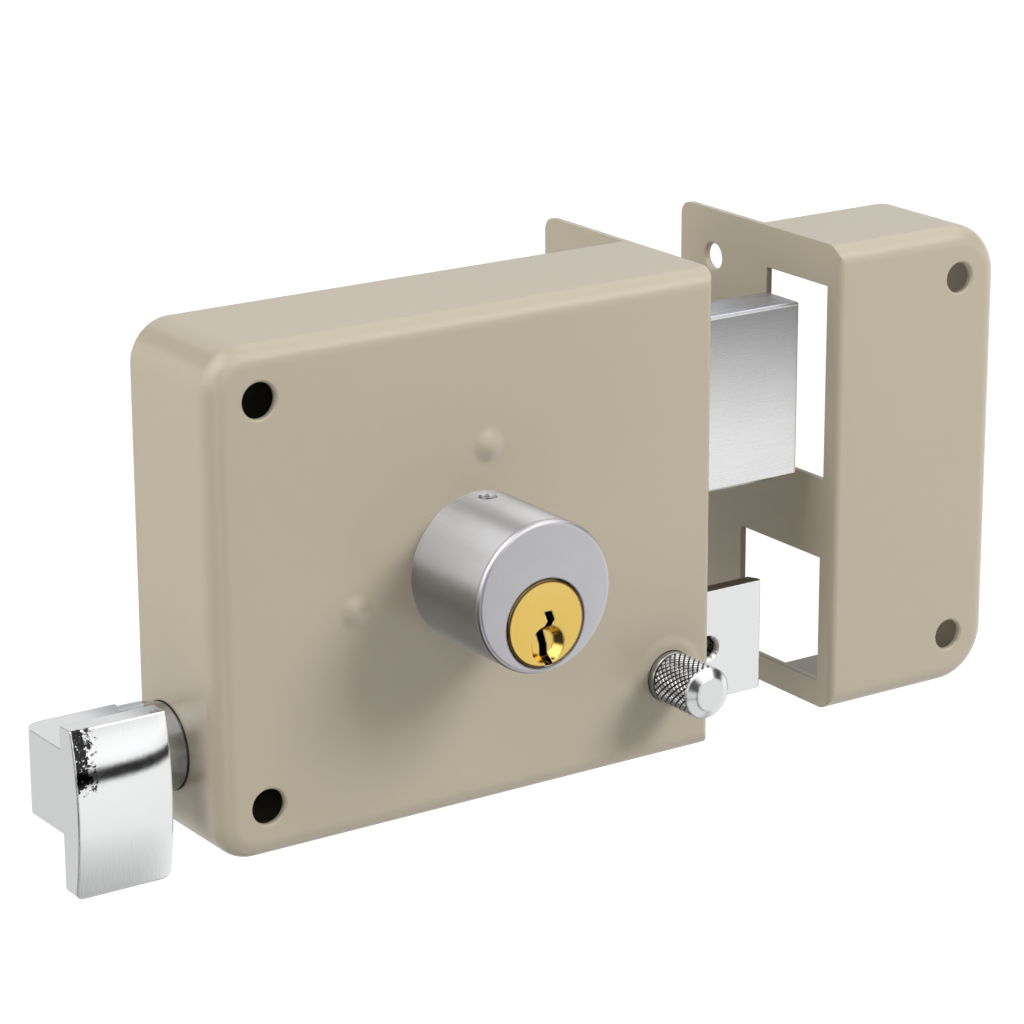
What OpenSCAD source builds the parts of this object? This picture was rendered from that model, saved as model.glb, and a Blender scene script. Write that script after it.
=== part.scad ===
// Rim box lock with a keyed cylinder, a dead bolt, a spring latch and its strike box.
// Frame: millimetres, +X towards the strike, +Z up, +Y into the door.
// The origin is where the key axis meets the back of the case, on the door's face.

/* [Case] */
// Width of the case, from the far side to the forend face
case_w = 121.9; // [115:0.1:140]
// Height of the case
case_h = 106.9; // [104:0.1:120]
// Depth of the case off the door
case_d = 31; // [30.5:0.1:36]
// Thickness of the pressed sheet
sheet_t = 1.4; // [1.2:0.1:1.6]
// Radius of the two corners away from the strike
corner_r = 8.8; // [8:0.1:12]
// Radius pressed along the front edges
edge_r = 4.2; // [3:0.1:6]
// Radius of the fold beside the forend
fold_r = 1.6; // [1.5:0.1:2.4]
// Distance from the forend face to the key axis
backset = 60; // [58:0.5:64]
// Height of the key axis above the lower edge of the case
axis_h = 47.2; // [46.5:0.1:51]
// Thickness of the plate that closes the back
back_t = 1.5; // [1.2:0.1:2]
// Radius of the opening in that plate for the outer cylinder
cylinder_bore_r = 12; // [10:0.1:14]
// Length of the forend's flange along the door's edge
flange_l = 29.3; // [26:0.1:36]
// Radius of the flange's free corners
flange_r = 3; // [1:0.1:6]

/* [Mounting holes] */
// Radius of the two screw holes in the front of the case
case_hole_r = 3.77; // [3:0.01:4.2]
// Distance of those holes from the far side
case_hole_in = 11.5; // [11:0.1:14]
// Distance of those holes from the upper and the lower edge
case_hole_up = 11.1; // [10.2:0.1:14]
// Radius of the screw holes in the two flanges
flange_hole_r = 2.95; // [2:0.01:4]
// Distance of a flange hole behind the door's face
flange_hole_y = 16.8; // [10:0.1:20]
// Distance of the forend flange's holes from the upper and the lower edge
flange_hole_up = 14; // [12.5:0.1:16]
// Distance of the strike flange's holes from the upper and the lower edge
strike_flange_up = 10.8; // [8:0.1:11.5]
// Chamfer round a screw hole
hole_chamfer = 0.4; // [0.2:0.1:0.6]

/* [Strike box] */
// Gap between the forend and the strike, as the pair is shown
strike_gap = 35.9; // [33:0.1:60]
// Width of the strike box
strike_w = 45.4; // [38:0.1:60]
// How much lower the strike box is than the case
strike_less = 0.6; // [0:0.1:3]
// Distance of the strike's lower edge below the case's lower edge
strike_drop = 0.4; // [0:0.05:3]
// Depth of the strike box off the frame
strike_d = 28.4; // [27.5:0.1:34]
// Radius of the strike's two corners away from the lock
strike_corner_r = 12; // [8:0.1:13]
// Length of the strike's flange
strike_flange_l = 28.8; // [26:0.1:36]
// Radius of the two screw holes in the front of the strike
strike_hole_r = 3.41; // [2.8:0.01:4]
// Distance of those holes from the strike's outer side
strike_hole_in = 11.4; // [9:0.1:13]
// Distance of those holes from the upper and the lower edge
strike_hole_up = 11.5; // [10:0.1:14]
// Room above, below and in front of the dead bolt in its window
bolt_window_gap = 2.4; // [1:0.1:4]
// Room behind the dead bolt in its window
bolt_window_back = 7.3; // [1:0.1:8]
// Room above and below the latch in its window
latch_window_gap = 1.9; // [1:0.05:3]
// How far both windows sit above the centres of their bolts
window_lift = 0.75; // [0:0.05:1.2]
// Room in front of the latch in its window
latch_window_front = 1.3; // [0.8:0.1:2]
// How far the latch window runs back past the frame's face
latch_window_back = 4.9; // [1:0.1:6]

/* [Dead bolt] */
// Distance of the dead bolt's upper face below the upper edge of the case
bolt_down = 13.5; // [12.5:0.1:18]
// Thickness of the dead bolt
bolt_t = 11.6; // [8:0.1:13]
// Depth of the bolt's front face behind the case's front
bolt_y = 9.2; // [8.6:0.1:11]
// Height of the bolt's lower face above the key axis
bolt_z = 7.1; // [6.8:0.1:9]
// How far the bolt stands out of the forend when it is thrown
bolt_out = 30.4; // [28:0.1:32]
// Length of the bolt inside the case
bolt_in = 16; // [14:0.1:17]
// Thickness of the bolt's tail plate
tail_t = 3.2; // [2:0.1:4]
// Distance of the tail plate's upper edge below the bolt's upper face
tail_down = 8.2; // [6.5:0.1:10]
// Chamfer along the bolt's edges
bolt_chamfer = 0.6; // [0.3:0.1:1]

/* [Rack and pinion] */
// Module of the teeth
gear_module = 1; // [0.9:0.05:1.05]
// Teeth on the pinion
pinion_teeth = 10; // [9:1:10]
// Pressure angle of the teeth
pressure_angle = 28; // [26:1:29]
// Play between the teeth along the rack
backlash = 0.24; // [0.15:0.01:0.4]
// Width of the pinion's teeth
pinion_w = 4; // [3.6:0.1:5]

/* [Cylinder] */
// Radius of the cylinder's sleeve
sleeve_r = 16; // [15.5:0.05:17]
// How far the sleeve stands off the case
sleeve_l = 24.6; // [24:0.1:30]
// Wall of the sleeve
sleeve_t = 1.6; // [1.2:0.1:1.9]
// Height of the sleeve's axis above the key axis
sleeve_up = 5.46; // [5.3:0.02:6]
// Radius of the plug's face
plug_face_r = 9.3; // [8.6:0.05:9.4]
// Radius of the plug's barrel
plug_r = 7.8; // [7.2:0.05:8]
// Pin chambers in the cylinder
pin_count = 5; // [4:1:5]
// Distance from one pin chamber to the next
pin_pitch = 3.3; // [3.2:0.05:3.4]
// Radius of a pin
pin_r = 1.4; // [1:0.05:1.45]

/* [Latch] */
// Height of the latch bolt
latch_h = 25; // [22:0.1:26]
// Thickness of the latch bolt's face plate
latch_t = 3.6; // [3:0.1:5]
// Depth of the latch's face behind the case's front
latch_y = 8.7; // [8.4:0.1:11]
// Height of the latch's centre above the lower edge of the case
latch_z = 19.4; // [19:0.05:20]
// How far the latch stands out of the forend
latch_out = 20.7; // [19:0.1:24]
// How far the pull handle draws the latch
latch_travel = 17.2; // [15:0.1:17.5]

/* [Pull handle] */
// Radius of the handle's shaft
shaft_r = 9.2; // [8:0.05:9.6]
// Distance of the shaft's axis in front of the door
shaft_y = 9.9; // [9.7:0.1:12]
// Height of the shaft's axis above the lower edge of the case
shaft_z = 20.3; // [19.8:0.1:21.2]
// Gap between the case's side and the handle's block
handle_gap = 8; // [4:0.1:14]
// Width of the handle along the shaft
handle_w = 21.1; // [18:0.1:30]
// Depth of the handle's block
handle_block_d = 16.8; // [14:0.1:18]
// Height of the handle's block
handle_block_h = 17.8; // [15:0.1:18.4]
// Distance of the block's middle in front of the shaft's axis
block_fore = 1.8; // [0:0.1:3]
// Height of the finger plate
finger_h = 35.5; // [28:0.1:40]
// Thickness of the finger plate at its ends
finger_t = 4.3; // [3:0.1:6]
// How far the finger plate stands above the shaft
finger_up = 4.35; // [1:0.05:6]
// How far the finger plate's face bows forward
finger_bow = 2.2; // [1:0.1:4]

/* [Snib] */
// Radius of the knob
knob_r = 5.7; // [5.2:0.05:6.2]
// How far the knob stands off the case
knob_l = 15.1; // [10:0.1:16]
// Distance of the knob's axis from the forend face
knob_in = 11; // [9.5:0.1:12]
// Height of the knob's axis above the lower edge of the case
knob_z = 18.8; // [17.7:0.1:19.6]
// How far the knob pushes in
knob_travel = 2.4; // [1.5:0.1:2.5]

/* [Hidden] */
$fn = 64;

// Clearances: a running fit, a loose fit in sheet, flat faces that slide, and free air
fit = 0.05;
loose = 0.1;
slide = 0.3;
air = 0.5;
// Cuts run this far past the face that they open
past = 1;
// A pressed edge laps this far into the flat front beside it
edge_lap = 0.5;

// Planes of the case
front = -case_d;
inside = front + sheet_t;
back = -back_t;
forend = backset;
far_side = backset - case_w;
low = -axis_h;
high = low + case_h;

// Dead bolt, its tail and the rack under it
bolt_front = front + bolt_y;
bolt_back = bolt_front + bolt_t;
bolt_mid = bolt_front + bolt_t / 2;
bolt_top = high - bolt_down;
bolt_end = forend + bolt_out;
bolt_start = forend - bolt_in;
tail_front = bolt_mid - tail_t / 2;
tail_back = bolt_mid + tail_t / 2;
tail_top = bolt_top - tail_down;
tenon_l = 11;
tenon_up = 4.3;
tenon_low = bolt_z + tenon_up;
tenon_h = tail_top - tenon_low;
bolt_rivet_r = 2;
bolt_rivet_share = 0.23;
BOLT_RIVETS = [tenon_low + bolt_rivet_share * tenon_h, tail_top - bolt_rivet_share * tenon_h];
pitch_r = gear_module * pinion_teeth / 2;
tooth_pitch = PI * gear_module;
throw = 2 * PI * pitch_r;
addendum = 0.9 * gear_module;
dedendum = 1.15 * gear_module;
tip_r = pitch_r + addendum;
root_r = pitch_r - dedendum;
base_r = pitch_r * cos(pressure_angle);
rack_teeth = ceil(throw / tooth_pitch) + 3;
tail_low = pitch_r + dedendum;
tail_land = 3;
tail_start = -1.5 * tooth_pitch - tail_land;
tail_corner = 6;

// Studs riveted through the front; their painted heads show as two domes
stud_x = 3;
stud_down = 7.3;
stud_z = tail_top - stud_down;
stud_r = 2.9;
stud_shoulder_r = 4;
stud_end = 1;
groove_depth = 0.6;
clip_t = 0.8;
clip_r = 5.2;
rest_stud_x = -29.2;
rest_stud_z = 1.2;
rest_stud_r = 2.4;
rivet_head_r = 3;
rivet_head_h = 0.95;
rivet_shank_r = 1.6;

// Guide and friction spring of the bolt
guide_t = 1.5;
guide_l = 12;
guide_foot = 7;
guide_gap = 1.6;
guide_end = forend - sheet_t - guide_gap;
leaf_t = 0.7;
leaf_w = 6;
leaf_gap = 1.5;
leaf_low = stud_z - clip_r - leaf_gap - leaf_w;
// The leaf's line from above: its foot on the plate, its slope and its touch on the tail
LEAF_X = [-24, -15, -4, 1, 4];
leaf_lift = 1.6;

// Cylinder
sleeve_face = front - sleeve_l;
sleeve_face_t = 1.4;
sleeve_edge_r = 1;
body_r = sleeve_r - sleeve_t - fit;
body_front = sleeve_face + sleeve_face_t;
plug_lip = 0.3;
plug_head_t = 2.2;
plug_edge_r = 0.5;
plug_bore_r = plug_r + fit;
face_gap = 0.1;
head_bore_r = plug_face_r + face_gap;
chamber_r = pin_r + fit;
first_pin_in = 0.8;
first_pin = body_front + chamber_r + first_pin_in;
driver_l = 4.4;
driver_gap = 0.03;
driver_low = plug_bore_r + driver_gap;
cap_t = 1.4;
cap_sunk = 0.02;
cap_top = sleeve_up + sqrt(body_r * body_r - chamber_r * chamber_r) - cap_sunk;
key_pin_top = sqrt(plug_r * plug_r - pin_r * pin_r) - fit;
key_pin_floor = 0.6;
key_tip_r = 0.49;
key_tip_l = 1.12;
// How far each key pin's tip stands above the floor of its hole, as the key lifts it
KEY_LIFTS = [1.2, 0.6, 1.8, 0.9, 1.5];
pin_coil_r = 1;
pin_wire_r = 0.18;
pin_turns = 5;
set_screw_r = 1.9;
set_screw_out = 4.2;
set_screw_y = front - set_screw_out;
set_screw_l = 2.9;
set_screw_sunk = 0.6;
set_screw_top = sleeve_up + sleeve_r - set_screw_sunk;
set_screw_room = 0.1;
hex_r = 1.05;
hex_d = 1.4;
fixing_x = 9.6;
fixing_up = 6;
fixing_z = sleeve_up + fixing_up;
fixing_r = 1.9;
fixing_l = 11;
fixing_head_r = 3.4;
fixing_head_t = 2.2;
fixing_slot_d = 1;
fixing_slot_w = 1;
plug_past = 1;
plug_end = inside + plug_past;
keyway_short = 3;
plug_hole_r = plug_r + air;

// Keyway, seen from the front: its middle from top to bottom, and its width
KEYWAY = [[0.4, 2.6], [1.2, 0.5], [-0.5, -1.9], [0.3, -4.6], [0.6, -8.9]];
keyway_w = 1.8;
key_cup = [0.3, -4.4];
key_cup_r = 4.05;
key_cup_floor_r = 2.6;
key_cup_d = 1.8;

// Pinion, on a hub screwed to the back of the plug
hub_step = 0.4;
hub_flange_r = plug_r - hub_step;
hub_flange_t = 2;
hub_r = 3.6;
pinion_front = bolt_mid - pinion_w / 2;
pinion_back = bolt_mid + pinion_w / 2;
hub_short = 4.5;
drive_end = back - hub_short;
drive_slot_w = 2.2;
drive_slot_d = 6;
hub_screw_x = 5.3;
hub_screw_r = 0.9;
hub_screw_l = 4;
hub_screw_head_r = 1.7;
hub_screw_head_t = 1.2;
hub_slot_w = 0.6;

// Latch
latch_front = front + latch_y;
latch_back = latch_front + latch_t;
latch_mid = low + latch_z;
latch_low = latch_mid - latch_h / 2;
latch_end = forend + latch_out;
latch_in = 20;
plate_start = forend - latch_in;
rib_h = 12;
rib_room = 3.7;
rib_back = back - rib_room;
rib_in = 6;
rib_start = forend - rib_in;
rib_step = 0.3;
tip_t = 1.6;
tip_chamfer = 0.4;
tip_back = 1.1;
tip_hole_r = 2.2;
tip_hole_rim = 0.8;
tip_hole_room = 0.6;
strip_t = 2;
strip_h = 11.5;
strip_lap = 6;
lug_x = -4;
lug_room = 3.5;
lug_end = back - lug_room;
latch_rivet_r = 1.4;
latch_rivet_z = 3.8;
LATCH_RIVETS = [latch_mid - latch_rivet_z, latch_mid + latch_rivet_z];

// Pull handle and its rod
shaft_axis_y = -shaft_y;
shaft_axis_z = low + shaft_z;
block_right = far_side - handle_gap;
block_left = block_right - handle_w;
block_mid = shaft_axis_y - block_fore;
block_back = block_mid + handle_block_d / 2;
block_front = block_mid - handle_block_d / 2;
block_drop = 0.3;
block_low = shaft_axis_z - block_drop - handle_block_h / 2;
block_corner_r = 4;
finger_top = shaft_axis_z + shaft_r + finger_up;
finger_corner_r = 1.6;
shaft_in = 23.3;
shaft_end = far_side + shaft_in;
notch_in = 1.2;
shaft_notch = far_side + notch_in;
rod_r = 3;
rod_sunk = 12;
rod_past = 1;
rod_guide_gap = 5;
rod_guide_x = shaft_end + rod_guide_gap;
rod_guide_t = 2;
rod_guide_h = 14;
rod_guide_up = 6.5;
rod_guide_front = shaft_axis_y - rod_guide_up;
rod_guide_foot = 9;
nut_r = 5;
nut_t = 4;
nut_x = lug_x + strip_t + slide;
spring_r = 4.2;
spring_wire_r = 0.5;
spring_turns = 8;

// Snib
knob_x = forend - knob_in;
knob_axis_z = low + knob_z;
knob_neck_r = 5.6;
knob_neck_l = 2.6;
knob_sunk = 0.1;
knob_chamfer = 1.5;
knob_step = 0.1;
knob_end = front - knob_l;
neck_base = front + knob_sunk;
bush_r = 7.6;
bush_room = 0.4;
bush_floor = neck_base + knob_travel + bush_room;
bush_floor_t = 2.1;
bush_end = bush_floor + bush_floor_t;
stem_r = 2.5;
stem_sunk = 3.9;
stem_head = knob_end + stem_sunk;
stem_tip_r = 1.9;
stem_shoulder = bush_end + slide;
stem_tip = latch_front - slide;
snib_clip_t = 0.6;
snib_clip_r = 3.8;
ring_r = 6.3;
ring_t = 0.4;
hold_hole_x = knob_x + latch_travel;

// Strike
strike_x = forend + strike_gap;
strike_far = strike_x + strike_w;
strike_low = low - strike_drop;
strike_h = case_h - strike_less;

// Posts between the front and the back plate, and the screws in them
post_top = 6.7;
post_side = 6.6;
post_low = 6.1;
POSTS = [[30, high - post_top], [-20, high - post_top], [far_side + post_side, 5],
    [5, low + post_low]];
post_r = 3;
post_bore_r = 1.25;
post_bore_more = 1;
post_screw_l = 8;
post_screw_head_r = 2.6;
post_screw_head_t = 1.15;
post_screw_flush = 0.05;
post_slot_d = 0.5;
post_slot_w = 0.6;
plate_gap = 0.1;
CASE_HOLES = [low + case_hole_up, high - case_hole_up];
case_hole_x = far_side + case_hole_in;

// Flat outlines

// A square whose corner far out on both axes is rounded
module round_corner_square(w, h, r) {
    union() {
        square([w - r, h]);
        square([w, h - r]);
        translate([w - r, h - r]) circle(r = r);
    }
}

// A rectangle with its two left corners rounded
module round_left(w, h, r) {
    union() {
        translate([r, 0]) square([w - r, h]);
        translate([0, r]) square([w, h - 2 * r]);
        for (y = [r, h - r]) translate([r, y]) circle(r = r);
    }
}

// A rectangle with every corner cut off at 45 degrees
module cut_corners(w, h, c) {
    polygon([[c, 0], [w - c, 0], [w, c], [w, h - c], [w - c, h], [c, h], [0, h - c], [0, c]]);
}

// The edge of a pressed box in section: how far in from its side, and how far forward.
// It laps into the flat front, so that the two are one solid at any size.
module edge_section(d, e) {
    union() {
        square([e, d - e]);
        translate([e, 0]) square([edge_lap, d]);
        intersection() {
            translate([e, d - e]) circle(r = e);
            square([e, d]);
        }
    }
}

// Solids drawn from the front or from the side

// Extrudes an outline drawn in X and Z from one Y to another
module from_front(y0, y1) {
    translate([0, y1, 0]) rotate([90, 0, 0]) linear_extrude(y1 - y0) children();
}

// Extrudes an outline drawn in Y and Z from one X to another
module from_side(x0, x1) {
    translate([x0, 0, 0]) rotate([90, 0, 90]) linear_extrude(x1 - x0) children();
}

// Extrudes an outline drawn in X and Y from one Z to another
module from_above(z0, z1) {
    translate([0, 0, z0]) linear_extrude(z1 - z0) children();
}

// A box between two corners
module box(x0, x1, y0, y1, z0, z1) {
    translate([x0, y0, z0]) cube([x1 - x0, y1 - y0, z1 - z0]);
}

// A round bar along Y, along X and along Z
module bar_y(x, z, r, y0, y1) {
    translate([x, y1, z]) rotate([90, 0, 0]) cylinder(r = r, h = y1 - y0);
}

module bar_x(y, z, r, x0, x1) {
    translate([x0, y, z]) rotate([0, 90, 0]) cylinder(r = r, h = x1 - x0);
}

module bar_z(x, y, r, z0, z1) {
    translate([x, y, z0]) cylinder(r = r, h = z1 - z0);
}

// A cone along Y, from one radius to another
module cone_y(x, z, r0, r1, y0, y1) {
    translate([x, y0, z]) rotate([-90, 0, 0]) cylinder(r1 = r0, r2 = r1, h = y1 - y0);
}

// A profile of radius and height turned about an axis along Y; its height runs forward
module turned_y(x, y, z) {
    translate([x, y, z]) rotate([90, 0, 0]) rotate_extrude() children();
}

// A block with all twelve edges chamfered
module chamfer_block(x0, x1, y0, y1, z0, z1, c) {
    intersection() {
        from_above(z0, z1) translate([x0, y0]) cut_corners(x1 - x0, y1 - y0, c);
        from_front(y0, y1) translate([x0, z0]) cut_corners(x1 - x0, z1 - z0, c);
        from_side(x0, x1) translate([y0, z0]) cut_corners(y1 - y0, z1 - z0, c);
    }
}

// An open wire coil along Z: its radius, the wire's radius, its turns and its length
module coil(r, wire, turns, length, steps = 12, sides = 6) {
    n = turns * steps;
    rings = [for (i = [0:n]) let (a = 360 * i / steps, z = wire + (length - 2 * wire) * i / n)
        for (k = [0:sides - 1]) let (b = 360 * k / sides, q = r + wire * cos(b))
            [q * cos(a), q * sin(a), z + wire * sin(b)]];
    walls = [for (i = [0:n - 1]) for (k = [0:sides - 1])
        let (a = i * sides + k, b = i * sides + (k + 1) % sides)
            each [[a, a + sides, b + sides], [a, b + sides, b]]];
    ends = [for (k = [1:sides - 2]) each [[0, k, k + 1],
        [n * sides, n * sides + k + 1, n * sides + k]]];
    polyhedron(points = rings, faces = concat(walls, ends));
}

// Pressed sheet

// A solid with the form of a pressed box: round left corners, and a radius along the
// front of three sides. Its back is at Y = 0 and its lower left corner at X = Z = 0.
module pressed_form(w, h, d, r, e) {
    from_front(-d, 0) translate([e, e]) round_left(w - e, h - 2 * e, r - e);
    from_above(r, h - r) mirror([0, 1]) edge_section(d, e);
    for (top = [0, 1]) translate([0, 0, top * h]) mirror([0, 0, top]) {
        from_side(r, w) rotate(90) edge_section(d, e);
        translate([r, 0, r]) rotate([90, 0, 0]) rotate(180) rotate_extrude(angle = 90)
            translate([r, 0]) mirror([1, 0]) edge_section(d, e);
    }
}

// A sheet box pressed to that form, open at the back, with a tight fold down its right
// side, where the sheet runs on behind the box as a flange
module pressed_box(w, h, d, r, flange) {
    difference() {
        intersection() {
            pressed_form(w, h, d, r, edge_r);
            from_above(0, h) mirror([0, 1]) round_corner_square(w, d, fold_r);
        }
        translate([sheet_t, past, sheet_t]) pressed_form(w - 2 * sheet_t,
            h - 2 * sheet_t, d - sheet_t + past, r - sheet_t, edge_r - sheet_t);
    }
    from_side(w - sheet_t, w) mirror([1, 0]) translate([-flange, 0])
        round_left(flange, h, flange_r);
}

// A screw hole through a front sheet whose face is at y, with its rim eased
module front_hole(x, z, r, y) {
    bar_y(x, z, r, y - past, y + sheet_t + past);
    cone_y(x, z, r + hole_chamfer + past, r, y - past, y + hole_chamfer);
}

// A screw hole through a flange, with its rim eased on the side at x that dir points to
module flange_hole(x, z, dir) {
    bar_x(flange_hole_y, z, flange_hole_r, x - sheet_t - past, x + sheet_t + past);
    translate([x + dir * past, flange_hole_y, z]) rotate([0, -90 * dir, 0])
        cylinder(r1 = flange_hole_r + hole_chamfer + past, r2 = flange_hole_r,
            h = hole_chamfer + past);
}

// The embossed ring round the snib
module snib_ring() {
    turned_y(knob_x, front, knob_axis_z) translate([ring_r, 0]) circle(r = ring_t);
}

module case_shell() {
    color("#b5ad98") difference() {
        union() {
            translate([far_side, 0, low]) pressed_box(case_w, case_h, case_d, corner_r,
                flange_l);
            snib_ring();
        }
        for (z = CASE_HOLES) front_hole(case_hole_x, z, case_hole_r, front);
        for (z = [low + flange_hole_up, high - flange_hole_up]) flange_hole(forend, z, 1);
        bar_y(0, 0, plug_hole_r, front - past, inside + past);
        for (x = [-fixing_x, fixing_x])
            bar_y(x, fixing_z, fixing_r + slide, front - past, inside + past);
        bar_y(stud_x, stud_z, rivet_shank_r, front - past, inside + past);
        bar_y(rest_stud_x, rest_stud_z, rivet_shank_r, front - past, inside + past);
        bar_y(knob_x, knob_axis_z, knob_neck_r + loose, front - past, inside + past);
        bar_x(shaft_axis_y, shaft_axis_z, shaft_r + loose, far_side - past,
            far_side + sheet_t + past);
        bolt_slots(forend - sheet_t - past, forend + past);
    }
}

// The openings in the forend: for the dead bolt, and for the latch with its rib
module bolt_slots(x0, x1) {
    box(x0, x1, bolt_front - slide, bolt_back + slide, bolt_z - slide, bolt_top + slide);
    box(x0, x1, latch_front - slide, latch_back + slide, latch_low - slide,
        latch_low + latch_h + slide);
    box(x0, x1, latch_back, rib_back + slide, latch_mid - rib_h / 2 - slide,
        latch_mid + rib_h / 2 + slide);
}

module strike_box() {
    color("#b5ad98") difference() {
        translate([strike_far, 0, strike_low]) mirror([1, 0, 0])
            pressed_box(strike_w, strike_h, strike_d, strike_corner_r, strike_flange_l);
        for (z = [strike_low + strike_hole_up, strike_low + strike_h - strike_hole_up])
            front_hole(strike_far - strike_hole_in, z, strike_hole_r, -strike_d);
        for (z = [strike_low + strike_flange_up, strike_low + strike_h - strike_flange_up])
            flange_hole(strike_x, z, -1);
        box(strike_x - past, strike_x + sheet_t + past, bolt_front - bolt_window_gap,
            bolt_back + bolt_window_back, bolt_z + window_lift - bolt_window_gap,
            bolt_top + window_lift + bolt_window_gap);
        box(strike_x - past, strike_x + sheet_t + past, latch_front - latch_window_front,
            latch_window_back, latch_low + window_lift - latch_window_gap,
            latch_low + latch_h + window_lift + latch_window_gap);
    }
}

// A countersunk head just under the back plate's face, or with more the cut for it
module screw_cone(p, r, more) {
    top = -post_screw_flush;
    cone_y(p[0], p[1], r - post_screw_head_t, r + more, top - post_screw_head_t, top + more);
}

module back_plate() {
    gap = sheet_t + plate_gap;
    color("#8d8a80") difference() {
        from_front(back, 0) translate([far_side + gap, low + gap])
            round_left(case_w - 2 * gap, case_h - 2 * gap, corner_r - gap);
        bar_y(0, 0, cylinder_bore_r, back - past, past);
        for (z = CASE_HOLES) bar_y(case_hole_x, z, case_hole_r, back - past, past);
        for (p = POSTS) {
            bar_y(p[0], p[1], post_bore_r + plate_gap, back - past, past);
            screw_cone(p, post_screw_head_r + plate_gap, past);
        }
    }
}

module case_posts() {
    color("#8d8a80") for (p = POSTS) difference() {
        bar_y(p[0], p[1], post_r, inside, back);
        bar_y(p[0], p[1], post_bore_r, back - post_screw_l - post_bore_more, back + past);
    }
}

module back_plate_screws() {
    color("#9a9a96") for (p = POSTS) difference() {
        union() {
            bar_y(p[0], p[1], post_bore_r - fit, back - post_screw_l,
                -post_screw_head_t / 2);
            screw_cone(p, post_screw_head_r, 0);
        }
        box(p[0] - post_r, p[0] + post_r, -post_slot_d, past, p[1] - post_slot_w / 2,
            p[1] + post_slot_w / 2);
    }
}

// Studs, guide and springs of the bolt work

// A stud's painted dome outside the case, and the shank that is riveted through it
module rivet_head(x, z) {
    dome_r = (rivet_head_r * rivet_head_r + rivet_head_h * rivet_head_h) / 2 / rivet_head_h;
    intersection() {
        bar_y(x, z, rivet_head_r, front - rivet_head_h - past, front);
        translate([x, front - rivet_head_h + dome_r, z]) sphere(r = dome_r);
    }
    bar_y(x, z, rivet_shank_r, front - fit, inside + fit);
}

module guide_studs() {
    clip_y = tail_back + slide;
    color("#b5ad98") {
        difference() {
            union() {
                rivet_head(stud_x, stud_z);
                bar_y(stud_x, stud_z, stud_shoulder_r, inside, tail_front - slide);
                bar_y(stud_x, stud_z, stud_r, inside, clip_y + clip_t + stud_end);
            }
            difference() {
                bar_y(stud_x, stud_z, stud_r + past, clip_y, clip_y + clip_t);
                bar_y(stud_x, stud_z, stud_r - groove_depth, clip_y - past,
                    clip_y + clip_t + past);
            }
        }
        rivet_head(rest_stud_x, rest_stud_z);
        bar_y(rest_stud_x, rest_stud_z, rest_stud_r, inside, tail_back + stud_end);
    }
}

module stud_clip() {
    clip_y = tail_back + slide;
    grip = stud_r - groove_depth + fit;
    color("#9a9a96") difference() {
        bar_y(stud_x, stud_z, clip_r, clip_y + fit, clip_y + clip_t - fit);
        bar_y(stud_x, stud_z, grip, clip_y - past, clip_y + clip_t + past);
        box(stud_x - grip, stud_x + grip, clip_y - past, clip_y + clip_t + past,
            stud_z, stud_z + clip_r + past);
    }
}

module bolt_guide() {
    y1 = bolt_back + slide;
    z0 = bolt_z - slide;
    z1 = bolt_top + slide;
    color("#9a9a96") difference() {
        union() {
            box(guide_end - guide_l, guide_end, inside, y1 + guide_t, z0 - guide_t,
                z1 + guide_t);
            box(guide_end - guide_l, guide_end, inside, inside + guide_t,
                z0 - guide_t - guide_foot, z1 + guide_t + guide_foot);
        }
        box(guide_end - guide_l - past, guide_end + past, inside - past, y1, z0, z1);
    }
}

module friction_spring() {
    touch = tail_back + slide;
    rest = back - leaf_t;
    run = [[LEAF_X[0], rest], [LEAF_X[1], rest], [LEAF_X[2], touch], [LEAF_X[3], touch],
        [LEAF_X[4], touch + leaf_lift]];
    color("#6f7377") from_above(leaf_low, leaf_low + leaf_w)
        polygon(concat(run, [for (i = [len(run) - 1:-1:0]) run[i] + [0, leaf_t]]));
}

// Dead bolt

module bolt_rivet_bars(r, more) {
    for (z = BOLT_RIVETS)
        bar_y(bolt_start + tenon_l / 2, z, r, bolt_front - more, bolt_back + more);
}

module dead_bolt() {
    color("#c9cacb") difference() {
        chamfer_block(bolt_start, bolt_end, bolt_front, bolt_back, bolt_z, bolt_top,
            bolt_chamfer);
        box(bolt_start - past, bolt_start + tenon_l, tail_front, tail_back, tenon_low,
            tail_top);
        bolt_rivet_bars(bolt_rivet_r, past);
    }
}

module bolt_rivets() {
    color("#9a9a96") bolt_rivet_bars(bolt_rivet_r - fit, 0);
}

// The rack's tooth at the given place along X, its points from left to right
function rack_tooth(x) = let (half = (tooth_pitch - backlash) / 4, lean = tan(pressure_angle))
    [[x - half - dedendum * lean, tail_low], [x - half + addendum * lean, pitch_r - addendum],
    [x + half - addendum * lean, pitch_r - addendum], [x + half + dedendum * lean, tail_low]];

module bolt_tail() {
    teeth = [for (i = [0:rack_teeth - 1]) each rack_tooth((i - 1.5) * tooth_pitch)];
    slot_r = stud_r + slide;
    color("#8f9296") difference() {
        from_front(tail_front, tail_back) polygon(concat([[tail_start, tail_low]], teeth,
            [[bolt_start, tail_low], [bolt_start, tenon_low],
            [bolt_start + tenon_l, tenon_low], [bolt_start + tenon_l, tail_top],
            [tail_start + tail_corner, tail_top], [tail_start, tail_top - tail_corner]]));
        for (x = [stud_x, stud_x + throw])
            bar_y(x, stud_z, slot_r, tail_front - past, tail_back + past);
        box(stud_x, stud_x + throw, tail_front - past, tail_back + past,
            stud_z - slot_r, stud_z + slot_r);
        bolt_rivet_bars(bolt_rivet_r, past);
    }
}

// Cylinder

module plug_head_room(y0) {
    bar_y(0, 0, head_bore_r, y0, sleeve_face + plug_head_t + fit);
}

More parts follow.
